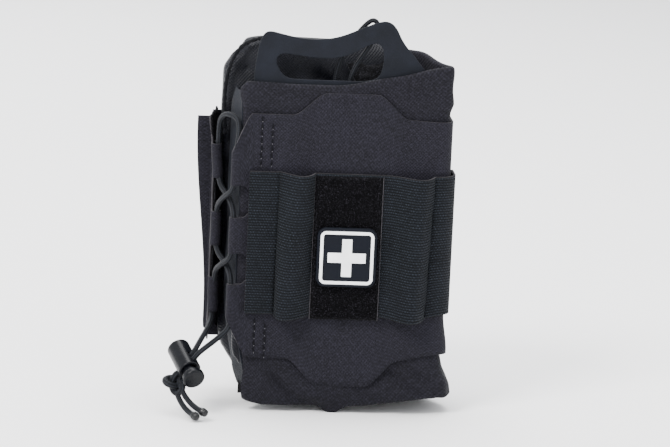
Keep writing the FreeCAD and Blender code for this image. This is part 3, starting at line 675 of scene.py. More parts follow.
def inflate(made, voxel, pressure, cap):
    """Swell a closed piece by cloth simulation, holding every point within the cap."""
    finishes = list(made.data.materials)
    remesh = made.modifiers.new("remesh", "REMESH")
    remesh.mode = "VOXEL"
    remesh.voxel_size = voxel * MM
    apply_modifiers(made)
    rest = points_of(made.data)
    cloth = made.modifiers.new("cloth", "CLOTH")
    cloth.settings.use_pressure = True
    cloth.settings.uniform_pressure_force = pressure
    cloth.settings.effector_weights.gravity = 0.0
    cloth.settings.mass = 0.2
    cloth.settings.tension_stiffness = 30
    cloth.settings.compression_stiffness = 30
    cloth.settings.bending_stiffness = 0.3
    for index in range(1, SWELL_FRAMES + 1):
        bpy.context.scene.frame_set(index)
    graph = bpy.context.evaluated_depsgraph_get()
    moved = points_of(bpy.data.meshes.new_from_object(made.evaluated_get(graph)))
    bpy.context.scene.frame_set(1)
    made.modifiers.clear()
    shift = moved - rest
    size = np.linalg.norm(shift, axis=1)[:, None]
    shift = shift * np.minimum(1.0, cap * MM / np.maximum(size, 1e-9))
    made.data.vertices.foreach_set("co", (rest + shift).ravel())
    spot = rest[corner_points(made.data)] / MM / UV_UNIT
    uv = np.stack([spot[:, 0] + 0.6 * spot[:, 1], spot[:, 2]], -1)
    made.data.uv_layers.new(name="UVMap").data.foreach_set("uv", uv.ravel())
    for finish in finishes:
        if finish.name not in [kept.name for kept in made.data.materials if kept]:
            made.data.materials.append(finish)
    smooth_faces(made.data)


def settle(made, body, slot_name, *nodes):
    """A finished piece moves with its body and stands for its nodes; its slot name is not used."""
    if nodes:
        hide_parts(*nodes)
    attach(made, body)
    return made


def spline(points, count, closed=False):
    """Points on a smooth curve: half(1-t)^2 a + (half+t-t^2) b + half t^2 c over each run a, b, c."""
    points = np.asarray(points, float)
    if closed:
        points = np.vstack([points[-1:], points, points[:1]])
    else:
        points = np.vstack([points[:1], points, points[-1:]])
    runs = len(points) - 2
    where = np.linspace(0, runs, count, endpoint=not closed)
    index = np.minimum(where.astype(int), runs - 1)
    t = (where - index)[:, None]
    return (0.5 * (1 - t) ** 2 * points[index] + (0.5 + t - t * t) * points[index + 1]
            + 0.5 * t * t * points[index + 2])


# ---------------------------------------------------------------- carrier: front

def panel_bottom(x):
    """Lower edge of the front panel: left bevel, middle tab, and a rise to the right corner."""
    tab = 1.12 * (soft_ramp(x - (TAB_X - 28.5), 3.0) - soft_ramp(x - (TAB_X - 15.5), 3.0)
                  - soft_ramp(x - (TAB_X + 15.5), 3.0) + soft_ramp(x - (TAB_X + 28.5), 3.0))
    bevel_left = 1.96 * soft_ramp(-40.7 - x, 1.5)
    return CARRIER_BOTTOM - tab + bevel_left + 4.5 * smoothstep(40.0, 66.0, x)


def panel_top(x):
    """Upper edge of the front panel: left bevel and middle tab."""
    tab = 0.9 * (soft_ramp(x - (TAB_X - 30.0), 2.6) - soft_ramp(x - (TAB_X - 16.0), 2.6)
                 - soft_ramp(x - (TAB_X + 16.0), 2.6) + soft_ramp(x - (TAB_X + 30.0), 2.6))
    right = 1.7 * smoothstep(26.0, 68.0, x)
    return CARRIER_TOP + tab - right - 2.29 * soft_ramp(-42.4 - x, 0.6)


def hem_plan(count):
    """Plan of a front hem: from the window's end forward round the cord and back behind."""
    ahead = [(WINDOW_END, FACE_Y), (HEM_X + 4.4, FACE_Y - 0.5), (HEM_X + 1.8, FACE_Y - 1.7)]
    angle = np.radians(np.linspace(-100, -260, 7))
    around = [(HEM_X + HEM_RADIUS * math.cos(a), HEM_Y + HEM_RADIUS * math.sin(a)) for a in angle]
    behind = [(HEM_X + 2.6, HEM_Y + 2.2), (WINDOW_END - 1.0, FACE_Y + 1.7)]
    return spline(ahead + around + behind, count)


def front_hem(index, rows):
    """One hem tube: its plan curve times a height that narrows towards the tube's own ends."""
    low, high = FRONT_TUBES[index]
    plan = hem_plan(HEM_POINTS)
    x = plan[:, 0]
    reach = np.clip((x - WINDOW_START) / (WINDOW_END - WINDOW_START), 0.0, 1.0)
    opening = 1 - np.sqrt(1 - reach ** 2)
    behind = np.arange(HEM_POINTS) > HEM_TURNED
    opening = np.where(behind, opening * 0.2, opening)
    if index < len(FRONT_TUBES) - 1:
        above = FRONT_TUBES[index + 1][0]
        top = high + (0.5 * (high + above) - high) * opening
    else:
        top = np.where(behind, high, panel_top(np.maximum(x, HEM_X - HEM_RADIUS)))
    if index > 0:
        below = FRONT_TUBES[index - 1][1]
        bottom = low + (0.5 * (low + below) - low) * opening
    else:
        bottom = np.where(behind, low, np.minimum(panel_bottom(x), low + 3.0))
    share = np.linspace(0, 1, rows)[:, None]
    return lattice(x, plan[:, 1], bottom + (top - bottom) * share)[:, ::-1]


def panel_face(rows_low, rows_mid, rows_high):
    """Front panel from the windows' end rightwards: front, rounded corner and right side."""
    edge_low = panel_bottom(np.array(WINDOW_END))
    edge_high = panel_top(np.array(WINDOW_END))
    middle_low = 0.5 * (FRONT_TUBES[0][1] + FRONT_TUBES[1][0])
    middle_high = 0.5 * (FRONT_TUBES[1][1] + FRONT_TUBES[2][0])
    heights = np.concatenate([
        np.linspace(edge_low, middle_low, rows_low)[:-1],
        np.linspace(middle_low, middle_high, rows_mid)[:-1],
        np.linspace(middle_high, edge_high, rows_high),
    ])
    share = ((heights - edge_low) / (edge_high - edge_low))[:, None]
    front = np.linspace(WINDOW_END, WRAP_X, 75)
    angle = np.linspace(0, math.pi / 2, 10)[1:]
    corner_x = WRAP_X + WRAP_RADIUS * np.sin(angle)
    corner_y = FACE_Y + WRAP_RADIUS * (1 - np.cos(angle))
    side_y = np.linspace(FACE_Y + WRAP_RADIUS, back_low[1], 22)[1:]
    x = np.concatenate([front, corner_x, np.full(len(side_y), panel_high[0])])
    y = np.concatenate([np.full(len(front), FACE_Y), corner_y, side_y])
    low = panel_bottom(x)
    high = panel_top(x)
    z = low + (high - low) * share
    x = np.broadcast_to(x, z.shape)
    y = np.broadcast_to(y, z.shape)
    free = smoothstep(0.0, 8.0, x - WINDOW_END) * (1 - smoothstep(WRAP_X - 12, WRAP_X, x))
    puff = ripple(x, z, 3, 38.0) * 0.35 + ripple(x * 2.2, z * 0.5, 5, 30.0) * 0.18
    skirt = 1.6 * smoothstep(46.0, 18.0, z) * smoothstep(-26.0, -6.0, x) * smoothstep(52.0, 36.0, x)
    puckers = sum(np.exp(-(((x - row) / 1.1) ** 2)) for row in STITCH_ROWS)
    puckers = puckers * (0.35 + 0.12 * np.sin(z * 2 * math.pi / 4.1))
    y = y + (puckers - puff - skirt) * free
    x = x + 2.4 * smoothstep(57.0, 36.0, z) * smoothstep(52.0, 68.0, x)
    return np.stack([x, y, z], -1)


def carrier_front(finish):
    """Front panel: its face and the three hem tubes, joined where they meet."""
    rows = (18, 16, 20)
    pieces = [sheet("front_panel", panel_face(*rows), finish["laminate"])]
    pieces[0].data.materials.append(finish["cut_edge"])
    for index, count in enumerate(rows):
        pieces.append(sheet("hem", front_hem(index, count), finish["laminate"]))
    made = join("front_panel", pieces)
    weld(made, 0.02)
    face_forward(made, (0.0, -1.0, 0.0))
    thicken(made, 1.1, True)
    settle(made, "carrier", "laminate", "carrier_front_panel")


def face_forward(made, way):
    """Turn a surface over if it faces away from the given direction on the whole."""
    total = sum((face.normal * face.area for face in made.data.polygons), Vector())
    if total.dot(Vector(way)) < 0:
        made.data.flip_normals()


# Heights of the stitched runs of each row, below and above the band
STITCH_RUNS = (((33.0, 53.0), (138.0, 163.0)), ((30.5, 50.0), (138.0, 160.0)))


def seam_dashes(finish):
    """The two rows of stitching beside the laced edge, above and below the band."""
    starts = []
    ends = []
    marks = []
    for x, runs in zip(STITCH_ROWS, STITCH_RUNS):
        for low, high in runs:
            for z in np.arange(low, high, 4.1):
                starts.append((x + 0.15 * math.sin(z), FACE_Y - 0.15, z + 0.5))
                ends.append((x + 0.15 * math.sin(z + 1), FACE_Y - 0.15, z + 3.4))
                marks.append((x + 0.2, FACE_Y - 0.25, z))
    marks = np.array(marks)
    dashes = stitches("front_stitching", starts, ends, finish["thread"], 0.42)
    dots = stitches("front_needle_marks", marks, marks + [0.0, 0.0, 0.55], finish["needle"],
                    0.2)
    for made in (dashes, dots):
        settle(made, "carrier", "laminate")


# ---------------------------------------------------------------- carrier: band and patch

LEFT_BULGE = (-24.7, -6.4)
RIGHT_BULGE = (32.0, 59.4)


def bulge(x, span, peak, height):
    """A raised loop: height times sin(pi t^p), p setting where along the span it is highest."""
    t = np.clip((x - span[0]) / (span[1] - span[0]), 0.0, 1.0)
    power = math.log(0.5) / np.log(peak)
    return height * np.sin(math.pi * t ** power) ** 0.8


def band_grid():
    """Elastic band: its plan along the front, round the corner and back, times its height."""
    face = FACE_Y - 1.5
    share = np.linspace(0, 1, 41)[:, None]
    front = np.linspace(band_low[0], WRAP_X, 120)
    radius = WRAP_RADIUS + 1.5
    angle = np.linspace(0, math.pi / 2, 10)[1:]
    side_y = np.linspace(FACE_Y + WRAP_RADIUS, -6.0, 9)[1:]
    x = np.concatenate([front, WRAP_X + radius * np.sin(angle),
                        np.full(len(side_y), WRAP_X + radius)])
    y = np.concatenate([np.full(len(front), face),
                        FACE_Y + WRAP_RADIUS - radius * np.cos(angle), side_y])
    left = bulge(x, LEFT_BULGE, 0.22 + 0.42 * share, 8.4 - 1.4 * share)
    right_end = RIGHT_BULGE[1] - 2.6 * (1 - share)
    right = bulge(x, (RIGHT_BULGE[0], right_end), 0.7 + 0.04 * share, 8.4 - 1.4 * share)
    seam = 0.7 * np.exp(-(((x - LEFT_BULGE[0] + 0.6) / 0.9) ** 2))
    lift = left + right - seam
    side = smoothstep(WRAP_X - 6.0, WRAP_X + 6.0, x)
    low = band_low[2] + 2.0 * side - 0.22 * lift
    high = band_high[2] + 0.6 - 0.12 * lift
    z = low + (high - low) * share
    wave = ripple(np.broadcast_to(x, z.shape), z, 11, 26.0) * 0.22
    x = np.broadcast_to(x, z.shape)
    return np.stack([x, y - lift - wave * (1 - side), z], -1)


def elastic_band(finish):
    """The band, stretched over the front, and the sewn line beside its left loop."""
    made = sheet("elastic_band_cloth", band_grid(), finish["elastic"], 1.3, 1.0,
                 finish["cut_edge"])
    settle(made, "carrier", "elastic", "elastic_band")
    marks = np.array([(LEFT_BULGE[0] - 0.6 + 0.25 * math.sin(z), FACE_Y - 1.25, z)
                      for z in np.arange(57.0, 134.0, 2.3)])
    dots = stitches("band_seam", marks, marks + [0.0, 0.0, 0.7], finish["needle"], 0.26)
    settle(dots, "carrier", "elastic")


def loop_field(finish):
    """Loop tape: a slab whose face is a fine uneven tangle."""
    shape = (240, 112)
    rng = np.random.default_rng(8)
    x = np.linspace(field_low[0] - 0.3, field_high[0] + 0.3, shape[1])
    z = np.linspace(field_low[2], field_high[2], shape[0])
    grid = lattice(x, 0.0, z[:, None])
    edge = np.minimum(np.minimum(x - x[0], x[-1] - x), np.minimum(z - z[0], z[-1] - z)[:, None])
    rise = smoothstep(-0.2, 1.4, edge)
    tangle = rng.normal(0.0, 0.24, shape) + ripple(grid[..., 0], grid[..., 2], 4, 5.0) * 0.12
    sag = 0.7 * np.sin((grid[..., 2] - 60) / 22.0)
    grid[..., 1] = field_high[1] - 0.3 - rise * (1.5 + tangle) + sag * 0.2
    grid[..., 0] += rng.normal(0.0, 0.08, shape) * (edge > 0)
    grid[..., 2] += rng.normal(0.0, 0.12, shape)
    made = sheet("loop_field_pile", grid, finish["pile"], 0.4)
    settle(made, "carrier", "loop_pile", "loop_field")


def field_edges(finish):
    """A plain woven edge up each side of the loop tape."""
    z = np.linspace(field_low[2] - 0.4, field_high[2] + 0.5, 30)[:, None]
    y = field_high[1] - 0.9 + 0.1 * np.cos(z * 1.3)
    for name, middle in (("field_edge_left", field_low[0] - 0.9),
                         ("field_edge_right", field_high[0] + 0.9)):
        x = middle + np.linspace(-0.22, 0.22, 4) + 0.12 * np.sin(z)
        made = sheet(name, lattice(x, y, z), finish["cut_edge"], 0.4)
        settle(made, "carrier", "loop_pile")


def patch(finish):
    """The patch: dark base, white ring and cross, and the hook backing."""
    for node, name, look, softness, slot_name in (
            ("patch_base", "patch", "rubber_dark", 0.9, "patch_dark"),
            ("patch_ring", "patch_frame", "rubber_white", 0.22, "patch_white"),
            ("patch_cross", "patch_cross_bars", "rubber_white", 0.28, "patch_white"),
            ("patch_hook_backing", "patch_backing", "hook", 0.3, "hook")):
        settle(copy_of(node, name, finish[look], softness), "patch", slot_name, node)


# ---------------------------------------------------------------- carrier: wing and back

WING_X = wing_low[0] + 3.4
WING_FACE_X = WING_X - 2.4
WING_HEM_Y = -6.0
WING_BOTTOM = 33.5


def wing_plan(count):
    """Plan of the wing's hem: forward along the outer face, round the cord and back inside."""
    radius = 3.1
    ahead = [(WING_FACE_X + 0.4, 24.0), (WING_FACE_X, 8.0), (WING_FACE_X - 0.1, -1.5)]
    angle = np.radians(np.linspace(190, 370, 7))
    around = [(WING_X + radius * math.cos(a), WING_HEM_Y + radius * math.sin(a)) for a in angle]
    behind = [(WING_X + 1.4, -2.0), (WING_FACE_X + 1.9, 3.0)]
    return spline(ahead + around + behind, count)


def side_wing(finish):
    """Wing: its flat part and three hem tubes, joined where the windows between them end."""
    plan = wing_plan(44)
    turned = int(np.argmax(plan[:, 1] < -1.0)) + 4
    reach = np.clip((plan[:, 1] - WING_HEM_Y) / 6.5, 0.0, 1.0)
    opening = np.where(np.arange(len(plan)) <= turned, 1 - np.sqrt(1 - reach ** 2), 0.0)
    splits = (WING_BOTTOM, 80.0, 117.5, WING_TOP)
    pieces = []
    for index, count in enumerate((16, 18, 20)):
        low, high = WING_TUBES[index]
        bottom = low + (splits[index] - low) * opening
        top = high + (splits[index + 1] - high) * opening
        share = np.linspace(0, 1, count)[:, None]
        grid = lattice(plan[:, 0], plan[:, 1], bottom + (top - bottom) * share)
        grid[..., 0] += ripple(grid[..., 1], grid[..., 2], 21, 30.0) * 0.25
        ahead = smoothstep(20.0, -4.0, grid[..., 1])
        grid[..., 0] -= ahead * (1.2 * smoothstep(127.0, 148.0, grid[..., 2])
                                 + 2.4 * smoothstep(146.0, 160.0, grid[..., 2]))
        pieces.append(sheet("wing", grid, finish["laminate"]))
    pieces[0].data.materials.append(finish["cut_edge"])
    made = join("side_wing_cloth", pieces)
    weld(made, 0.02)
    face_forward(made, (-1.0, 0.0, 0.0))
    thicken(made, 1.0, True)
    settle(made, "carrier", "laminate", "side_wing")


def wing_lining(finish):
    """Loop pile on the inner face of the wing, with an uneven upper edge."""
    shape = (150, 34)
    rng = np.random.default_rng(4)
    z = np.linspace(50.0, 161.0, shape[0])[:, None]
    y = np.linspace(-2.0, 24.6, shape[1])
    grid = lattice(WING_FACE_X + 2.1 + rng.normal(0, 0.2, shape), y, z)
    grid[..., 0] -= smoothstep(20.0, -4.0, y) * 3.4 * smoothstep(127.0, 160.0, z)
    grid[-1, :, 2] += rng.uniform(-0.3, 1.3, shape[1])
    made = sheet("wing_lining", grid, finish["lining"], 0.9, -1.0)
    settle(made, "carrier", "loop_lining", "wing_loop_lining")


def near(values, middles, reach):
    """Which values lie closer than the reach to one of the middles."""
    return (np.abs(values[:, None] - np.array(middles)) < reach).any(axis=1)


def slotted_panel(finish):
    """Outer back panel: a grid of cells with the cells of the nine slots left out."""
    half_slot = 13.5
    slot_height = 6.0
    bottom = 30.5
    left = -69.7
    columns = [-WEBBING_GRID, 0.0, WEBBING_GRID]
    rows = [53.0 + WEBBING_GRID * k for k in range(3)]
    x = [np.linspace(left, 66.0, 36)]
    x += [np.linspace(middle - half_slot, middle + half_slot, 7) for middle in columns]
    z = [np.linspace(bottom, 156.0, 32)]
    z += [np.linspace(low, low + slot_height, 3) for low in rows]
    x = np.unique(np.concatenate(x).round(3))
    z = np.unique(np.concatenate(z).round(3))
    grid = lattice(x, 0.0, z[:, None])
    tilt = smoothstep(150.0, 50.0, grid[..., 2]) * 7.0 * smoothstep(-56.0, left, grid[..., 0])
    grid[..., 1] = mount_low[1] + 0.2 + 0.3 * ripple(grid[..., 0], grid[..., 2], 31, 45.0)
    corner_cut = 5.0 * smoothstep(6.0, 0.0, grid[..., 2] - bottom) ** 2
    grid[..., 0] += tilt
    grid[..., 0] += np.where(grid[..., 0] < -50.0, corner_cut, 0.0)
    open_x = near(0.5 * (x[1:] + x[:-1]), columns, half_slot)
    open_z = near(0.5 * (z[1:] + z[:-1]), [low + slot_height / 2 for low in rows], slot_height / 2)
    keep = ~(open_z[:, None] & open_x[None, :]).ravel()
    made = build("mount_panel_cloth", grid.reshape(-1, 3), quads(len(z), len(x))[keep],
                 cloth_uv(grid), [finish["laminate"], finish["cut_edge"]])
    face_forward(made, (0.0, 1.0, 0.0))
    thicken(made, 1.1, True)
    bevel(made, 0.25, 1, 60.0)
    settle(made, "carrier", "laminate", "mount_panel")


def flat_cloth(name, node, finish, body, slot_name, wave):
    """A flat piece of cloth or tape the size of its node, a little uneven, with soft edges."""
    low, high = corners(node)
    x = np.linspace(low[0], high[0], max(6, int((high[0] - low[0]) / 3)))
    z = np.linspace(low[2], high[2], max(6, int((high[2] - low[2]) / 3)))
    grid = lattice(x, 0.0, z[:, None])
    grid[..., 1] = low[1] + wave * ripple(grid[..., 0], grid[..., 2], len(name), 30.0) + wave
    depth = (high[1] - low[1]) - 2 * wave
    made = sheet(name, grid, finish, depth)
    bevel(made, min(0.3, depth * 0.3), 2, 60.0)
    settle(made, body, slot_name, node)


def straps(finish):
    """Two webbing straps down the back, bowed a little, with their snaps and sewn anchors."""
    for side, x in (("left", -WEBBING_GRID), ("right", WEBBING_GRID)):
        body = "strap_" + side
        z = np.linspace(34.0, 147.2, 48)[:, None]
        half = WEBBING_WIDTH / 2
        across = np.linspace(-half, half, 9)
        y = 36.5 - 0.35 * np.sin((z - 41.0) / 105.0 * math.pi * 3) ** 2
        grid = lattice(x + across, y, z)
        grid[..., 2] -= 0.5 * (across / half) ** 2
        tape = sheet("webbing_" + body, grid, finish["webbing"], 1.7)
        bevel(tape, 0.5, 2, 60.0)
        settle(tape, body, "webbing", "mount_strap_" + side)
        cap = copy_of("snap_cap_" + side, "snap_top_" + side, finish["enamel"], 0.35)
        settle(cap, body, "snap_metal", "snap_cap_" + side)
    anchors = copy_of("strap_anchors", "webbing_anchors", finish["webbing_solid"], 0.9)
    settle(anchors, "carrier", "webbing", "strap_anchors")
    studs = copy_of("snap_studs", "snap_bases", finish["enamel"], 0.3)
    settle(studs, "carrier", "snap_metal", "snap_studs")


# ---------------------------------------------------------------- cords and lock

def metres(route):
    """A route's points, in metres."""
    return [tuple(value * MM for value in point) for point in route]


LACING = metres((
    (-58.7, -6, 51.4), (-58.7, -6, 73.2), (-55.8, -17.9, 80.3), (-49.3, -28.3, 86.8),
    (-49.3, -28.3, 111.2), (-52.2, -16.4, 118), (-58.7, -6, 124.8), (-58.7, -6, 155.5),
    (-57.9, -9.4, 161.6), (-54.5, -16.4, 164.8), (-48.9, -21.9, 163), (-47.9, -25.3, 156.5),
    (-49.3, -28.3, 149), (-49.3, -28.3, 124.8), (-55.8, -17.9, 118), (-58.7, -6, 110.2),
    (-58.7, -6, 86.8), (-52.2, -16.4, 80.3), (-49.3, -28.3, 73.8), (-49.3, -28.3, 50)))
STRAND_SIDE = metres((
    (-58.7, -6, 51.4), (-58.9, -7.2, 47), (-61.3, -18, 43.8), (-66.2, -34.1, 39.3),
    (-68.6, -38.5, 35.6), (-76.3, -34.7, 22.8), (-78.4, -36.2, 19.8), (-77.9, -38.3, 13.6),
    (-76.6, -41.4, 9.6), (-73.8, -46, 5.8), (-70.4, -51.4, 3.6), (-67.4, -56.8, 3.2)))
STRAND_FRONT = metres((
    (-49.3, -28.3, 50), (-50.2, -29.3, 46.4), (-56.3, -33.5, 41.6), (-63.8, -40.9, 37.4),
    (-67.9, -41.1, 33.7), (-75.7, -37.2, 20.5), (-76.6, -39.6, 18.4), (-75.3, -40.3, 15),
    (-73.6, -43.4, 11.8), (-70.6, -47.2, 8.6), (-66.8, -51.4, 6.2), (-62.8, -55.8, 5.2)))
INNER_CORD = metres((
    (10.8, -17.6, 176), (10.6, -17.6, 188), (21.8, -17.8, 205), (26.4, -17.6, 214),
    (24.6, -17.2, 219.4), (20, -16.4, 218.2), (8.2, -15.4, 202.6), (3.4, -15.4, 189),
    (3, -15.4, 176)))
KNOT_CENTRE = (-78.2, -38.0, 17.4)


def cord_line(name, route):
    """The centreline of a cord, in millimetres, taken from a NURBS curve along its route."""
    curve = bpy.data.curves.new(name + "_route", "CURVE")
    curve.dimensions = "3D"
    curve.resolution_u = 12
    spine = curve.splines.new("NURBS")
    spine.points.add(len(route) - 1)
    for point, place in zip(spine.points, route):
        point.co = (*place, 1.0)
    spine.order_u = 3
    spine.use_endpoint_u = True
    holder = bpy.data.objects.new(name + "_route", curve)
    path = bpy.data.meshes.new_from_object(holder)
    line = points_of(path) / MM
    bpy.data.objects.remove(holder)
    return line


def braided_cord(name, route, diameter, finish, sealed=0.0):
    """A cord along its route; a sealed end swells into a bulb and draws in again."""
    line = cord_line(name, route)
    gap = arc_length(line)
    from_end = gap[-1] - gap
    swell = sealed * np.exp(-(((from_end - 1.6) / 1.5) ** 2))
    return line, tube(name, line, diameter / 2 * (1 + swell), finish, 16)


def sealed_end(side, line, finish):
    """The melted bulb at a tail's tip: a short tube that swells and draws in."""
    way = line[-1] - line[-4]
    way = way / np.linalg.norm(way)
    reach = np.linspace(-2.6, 2.0, 9)
    size = np.array([1.0, 1.25, 1.5, 1.62, 1.58, 1.3, 1.42, 1.36, 0.9]) * 1.5
    return tube("sealed_end_" + side, line[-1] + reach[:, None] * way, size, finish["melt"], 12)


def cords(finish):
    """The lacing, the two strands with their tails, sealed ends and knot, and the inner cord."""
    _, lacing = braided_cord("lacing", LACING, CORD_DIAMETER, finish["sheath"])
    settle(lacing, "carrier", "shock_cord", "lacing_cord")
    made = {}
    for side, route in (("side", STRAND_SIDE), ("front", STRAND_FRONT)):
        name = "strand_and_tail_" + side
        line, piece = braided_cord(name, route, CORD_DIAMETER, finish["sheath"], 0.42)
        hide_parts("strand_" + side, "tail_" + side)
        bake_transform(piece)
        made[side] = (piece, line)
    bulbs = [sealed_end(side, line, finish) for side, (_, line) in made.items()]
    for bulb in bulbs:
        settle(bulb, "lock", "shock_cord")
    knot = overhand_knot(finish)
    line, inner = braided_cord("inner_cord", INNER_CORD, INNER_CORD_DIAMETER, finish["sheath"])
    settle(inner, "insert", "shock_cord", "inner_shock_cord")


def overhand_knot(finish):
    """Overhand knot: a trefoil curve, flattened and turned to hang below the lock."""
    t = np.linspace(0, 2 * math.pi, 91)[:-1]
    size = 2.0
    x = (np.sin(t) + 2 * np.sin(2 * t)) * size
    y = (np.cos(t) - 2 * np.cos(2 * t)) * size
    z = -np.sin(3 * t) * size * 1.15
    tilt = Matrix.Rotation(math.radians(62), 3, "X") @ Matrix.Rotation(math.radians(20), 3, "Z")
    spine = np.stack([x, y, z], -1) @ np.array(tilt).T + np.array(KNOT_CENTRE)
    spine = np.vstack([spine, spine[:2]])
    made = tube("cord_knot_turns", spine, 1.75, finish["sheath"], 14)
    return settle(made, "lock", "shock_cord", "cord_knot")


def cord_lock(finish):
    """Barrel and plunger, and the spring that is squeezed between them."""
    barrel = copy_of("lock_barrel", "lock_body", finish["acetal"], 0.45)
    settle(barrel, "lock", "lock_plastic", "lock_barrel")
    plunger = copy_of("lock_plunger", "lock_button", finish["acetal"], 0.6)
    settle(plunger, "plunger", "lock_plastic", "lock_plunger")
    spring = apply_modifiers(copy_of("lock_spring", "spring_coil", finish["wire"], 0.03))
    points = points_of(spring.data)
    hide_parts("lock_spring")
    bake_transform(spring)


# ---------------------------------------------------------------- insert

LIP = 1.2


def cover_plan(height, count):
    """Plan of the insert's outer cloth at a height: front, right side and back.
    Low down the right side is straight; towards the top it leans in towards the back."""
    low = np.array([(-46.0, -24.5), (-43.0, -26.6), (-20, -26.9), (10, -27.0), (40, -27.0),
                    (58.0, -26.8), (65.5, -25.8), (67.4, -20.0), (67.4, -8.0), (67.2, 6.0),
                    (66.0, 17.0), (58.0, 23.0), (35.0, 23.8), (0, 24.0), (-30, 24.0),
                    (-50, 23.4), (-56, 17.0)], float)
    top = np.array([(-48.0, -22.0), (-45.0, -25.6), (-22, -26.2), (10, -25.6), (38, -26.0),
                    (58.0, -26.8), (66.4, -26.6), (66.0, -21.0), (60.0, -11.0), (53.0, 1.0),
                    (46.0, 10.0), (38.0, 16.5), (24.0, 20.5), (-2, 22.5), (-28, 22.8),
                    (-44, 21.8), (-50, 15.0)], float)
    lean = smoothstep(160.0, 196.0, height)
    return spline(low + (top - low) * lean, count)


def cover_bottom(x, y):
    """Lower edge of the outer cloth: a low corner at the left, a dart, and a rise to the right."""
    front = 5.3 + 1.0 * smoothstep(-33.0, -40.0, x) + 1.5 * smoothstep(-40.0, -47.0, x)
    front = front - 4.9 * np.exp(-(((x - 8.5) / 5.0) ** 2)) + 6.0 * smoothstep(12.0, 68.0, x)
    behind = 5.0 + 34.0 * smoothstep(-30.0, -54.0, x)
    return front + (behind - front) * smoothstep(-18.0, 12.0, y)


def cover_top(x, y):
    """Upper edge of the outer cloth: lowest left of the middle, highest at the right and back."""
    front = 181.8 + 0.6 * smoothstep(-20, -44, x) - 3.0 * smoothstep(-45.0, -48.0, x)
    front = front + 5.6 * smoothstep(2.0, 40.0, x) + 7.0 * smoothstep(32.0, 68.0, x)
    behind = 198.6 + 0.6 * np.sin(x / 9.0) - 40.0 * smoothstep(-26.0, -52.0, x)
    return front + (behind - front) * smoothstep(-20.0, 4.0, y)


# Grooves in the outer cloth's front, each as start, end, half width and depth, in x and z
COVER_GROOVES = (((-29.0, 22.0), (-13.0, 8.0), 2.2, -3.2), ((-13.0, 8.0), (4.0, 4.0), 2.6, -2.0),
                 ((38.0, 25.0), (62.0, 9.0), 1.8, -2.6), ((50.0, 27.0), (66.0, 14.0), 1.6, -2.2),
                 ((56.0, 20.0), (67.0, 7.0), 1.5, -2.0), ((20.0, 12.0), (40.0, 8.0), 2.4, -1.6),
                 ((34.0, 184.0), (62.0, 178.0), 2.2, -1.2), ((-36.0, 180.0), (-8.0, 175.0), 2.6, -1.2))


def turned_edge(edge, inward, depth, height, count):
    """Rows that carry a cloth edge over inwards by half a turn."""
    rows = []
    for angle in np.linspace(0, math.pi, count)[1:]:
        row = edge.copy()
        row[:, :2] += inward * (depth * (1 - math.cos(angle)))
        row[:, 2] += height * math.sin(angle)
        rows.append(row)
    return rows


def insert_cover(finish):
    """Outer cloth: plan curve times height, its top rolled inwards and its hem turned under."""
    columns = 230
    levels = np.linspace(0, 1, 96)
    base = cover_plan(100.0, columns)
    summit = cover_plan(200.0, columns)
    low = cover_bottom(base[:, 0], base[:, 1])
    high = cover_top(summit[:, 0], summit[:, 1])
    rows = []
    for share in levels:
        z = low + (high - low) * share
        plan = np.stack([cover_plan(height, columns)[index] for index, height in enumerate(z)])
        rows.append(np.column_stack([plan, z]))
    grid = np.array(rows)
    along = np.gradient(grid[..., :2], axis=1)
    along = along / np.linalg.norm(along, axis=-1)[..., None]
    inward = np.stack([-along[..., 1], along[..., 0]], -1)
    x, y, z = grid[..., 0], grid[..., 1], grid[..., 2]
    front = smoothstep(-14.0, -24.0, y)
    steps = np.diff(grid[..., :2], axis=1, prepend=grid[:, :1, :2])
    path = np.cumsum(np.linalg.norm(steps, axis=-1), axis=1)
    loose_low = smoothstep(34.0, 14.0, z)
    loose_top = smoothstep(166.0, 176.0, z)
    puff = loose_low * (2.6 * np.sin(math.pi * np.clip(z / 30.0, 0, 1))
                        + 1.5 * ripple(path, z, 41, 26.0) + 0.5 * ripple(path, z * 1.3, 49, 11.0))
    puff = puff + loose_top * (0.9 + 0.9 * ripple(path, z * 1.4, 43, 30.0)
                               + 0.35 * ripple(path * 0.5, z, 45, 9.0))
    puff = puff + 0.3 * ripple(path, z, 47, 50.0)
    puff = puff + crease(x, z, (-6.0, 12.0), (14.0, 5.0), 4.0, 2.0) * front
    hug = smoothstep(14.0, 34.0, z) * smoothstep(176.0, 166.0, z)
    puff = puff * (1 - 0.85 * hug)
    for start, end, width, depth in COVER_GROOVES:
        puff = puff + crease(x, z, start, end, width, depth) * front
    flare = 5.6 * np.clip((36.0 - z) / 27.0, 0, 1) * smoothstep(50.0, 67.0, x)
    flare = flare * smoothstep(16.0, -14.0, y)
    grid[..., :2] = grid[..., :2] - inward * puff[..., None]
    grid[..., 0] += flare
    grid[..., 0] += 6.2 * smoothstep(58.0, 16.0, z) * smoothstep(-20.0, -44.0, x) * front
    lip_rows = turned_edge(grid[-1], inward[-1], LIP, LIP, 7)
    for drop in (3.0, 7.0, 12.0):
        row = lip_rows[5].copy()
        row[:, 2] -= drop
        lip_rows.append(row)
    hem_rows = turned_edge(grid[0], inward[0], 1.4, -1.0, 6)
    for run in (3.0, 7.0):
        row = hem_rows[4].copy()
        row[:, :2] += inward[0] * run
        row[:, 2] += 0.3 * run
        hem_rows.append(row)
    grid = np.concatenate([np.array(hem_rows[::-1]), grid, np.array(lip_rows)])
    grid[..., 2] = np.maximum(grid[..., 2], 0.3)
    made = sheet("insert_outer_cloth", grid, finish["cover"], 0.7, 1.0)
    settle(made, "insert", "cover_fabric", "insert_front_cover", "insert_back_cover")


def share_into(z, start, radius, way):
    """How far heights have gone into a corner: 0 where it starts, 1 one radius further on."""
    return np.clip(np.maximum(way * (z - start), 0.0) / radius, 0, 1)


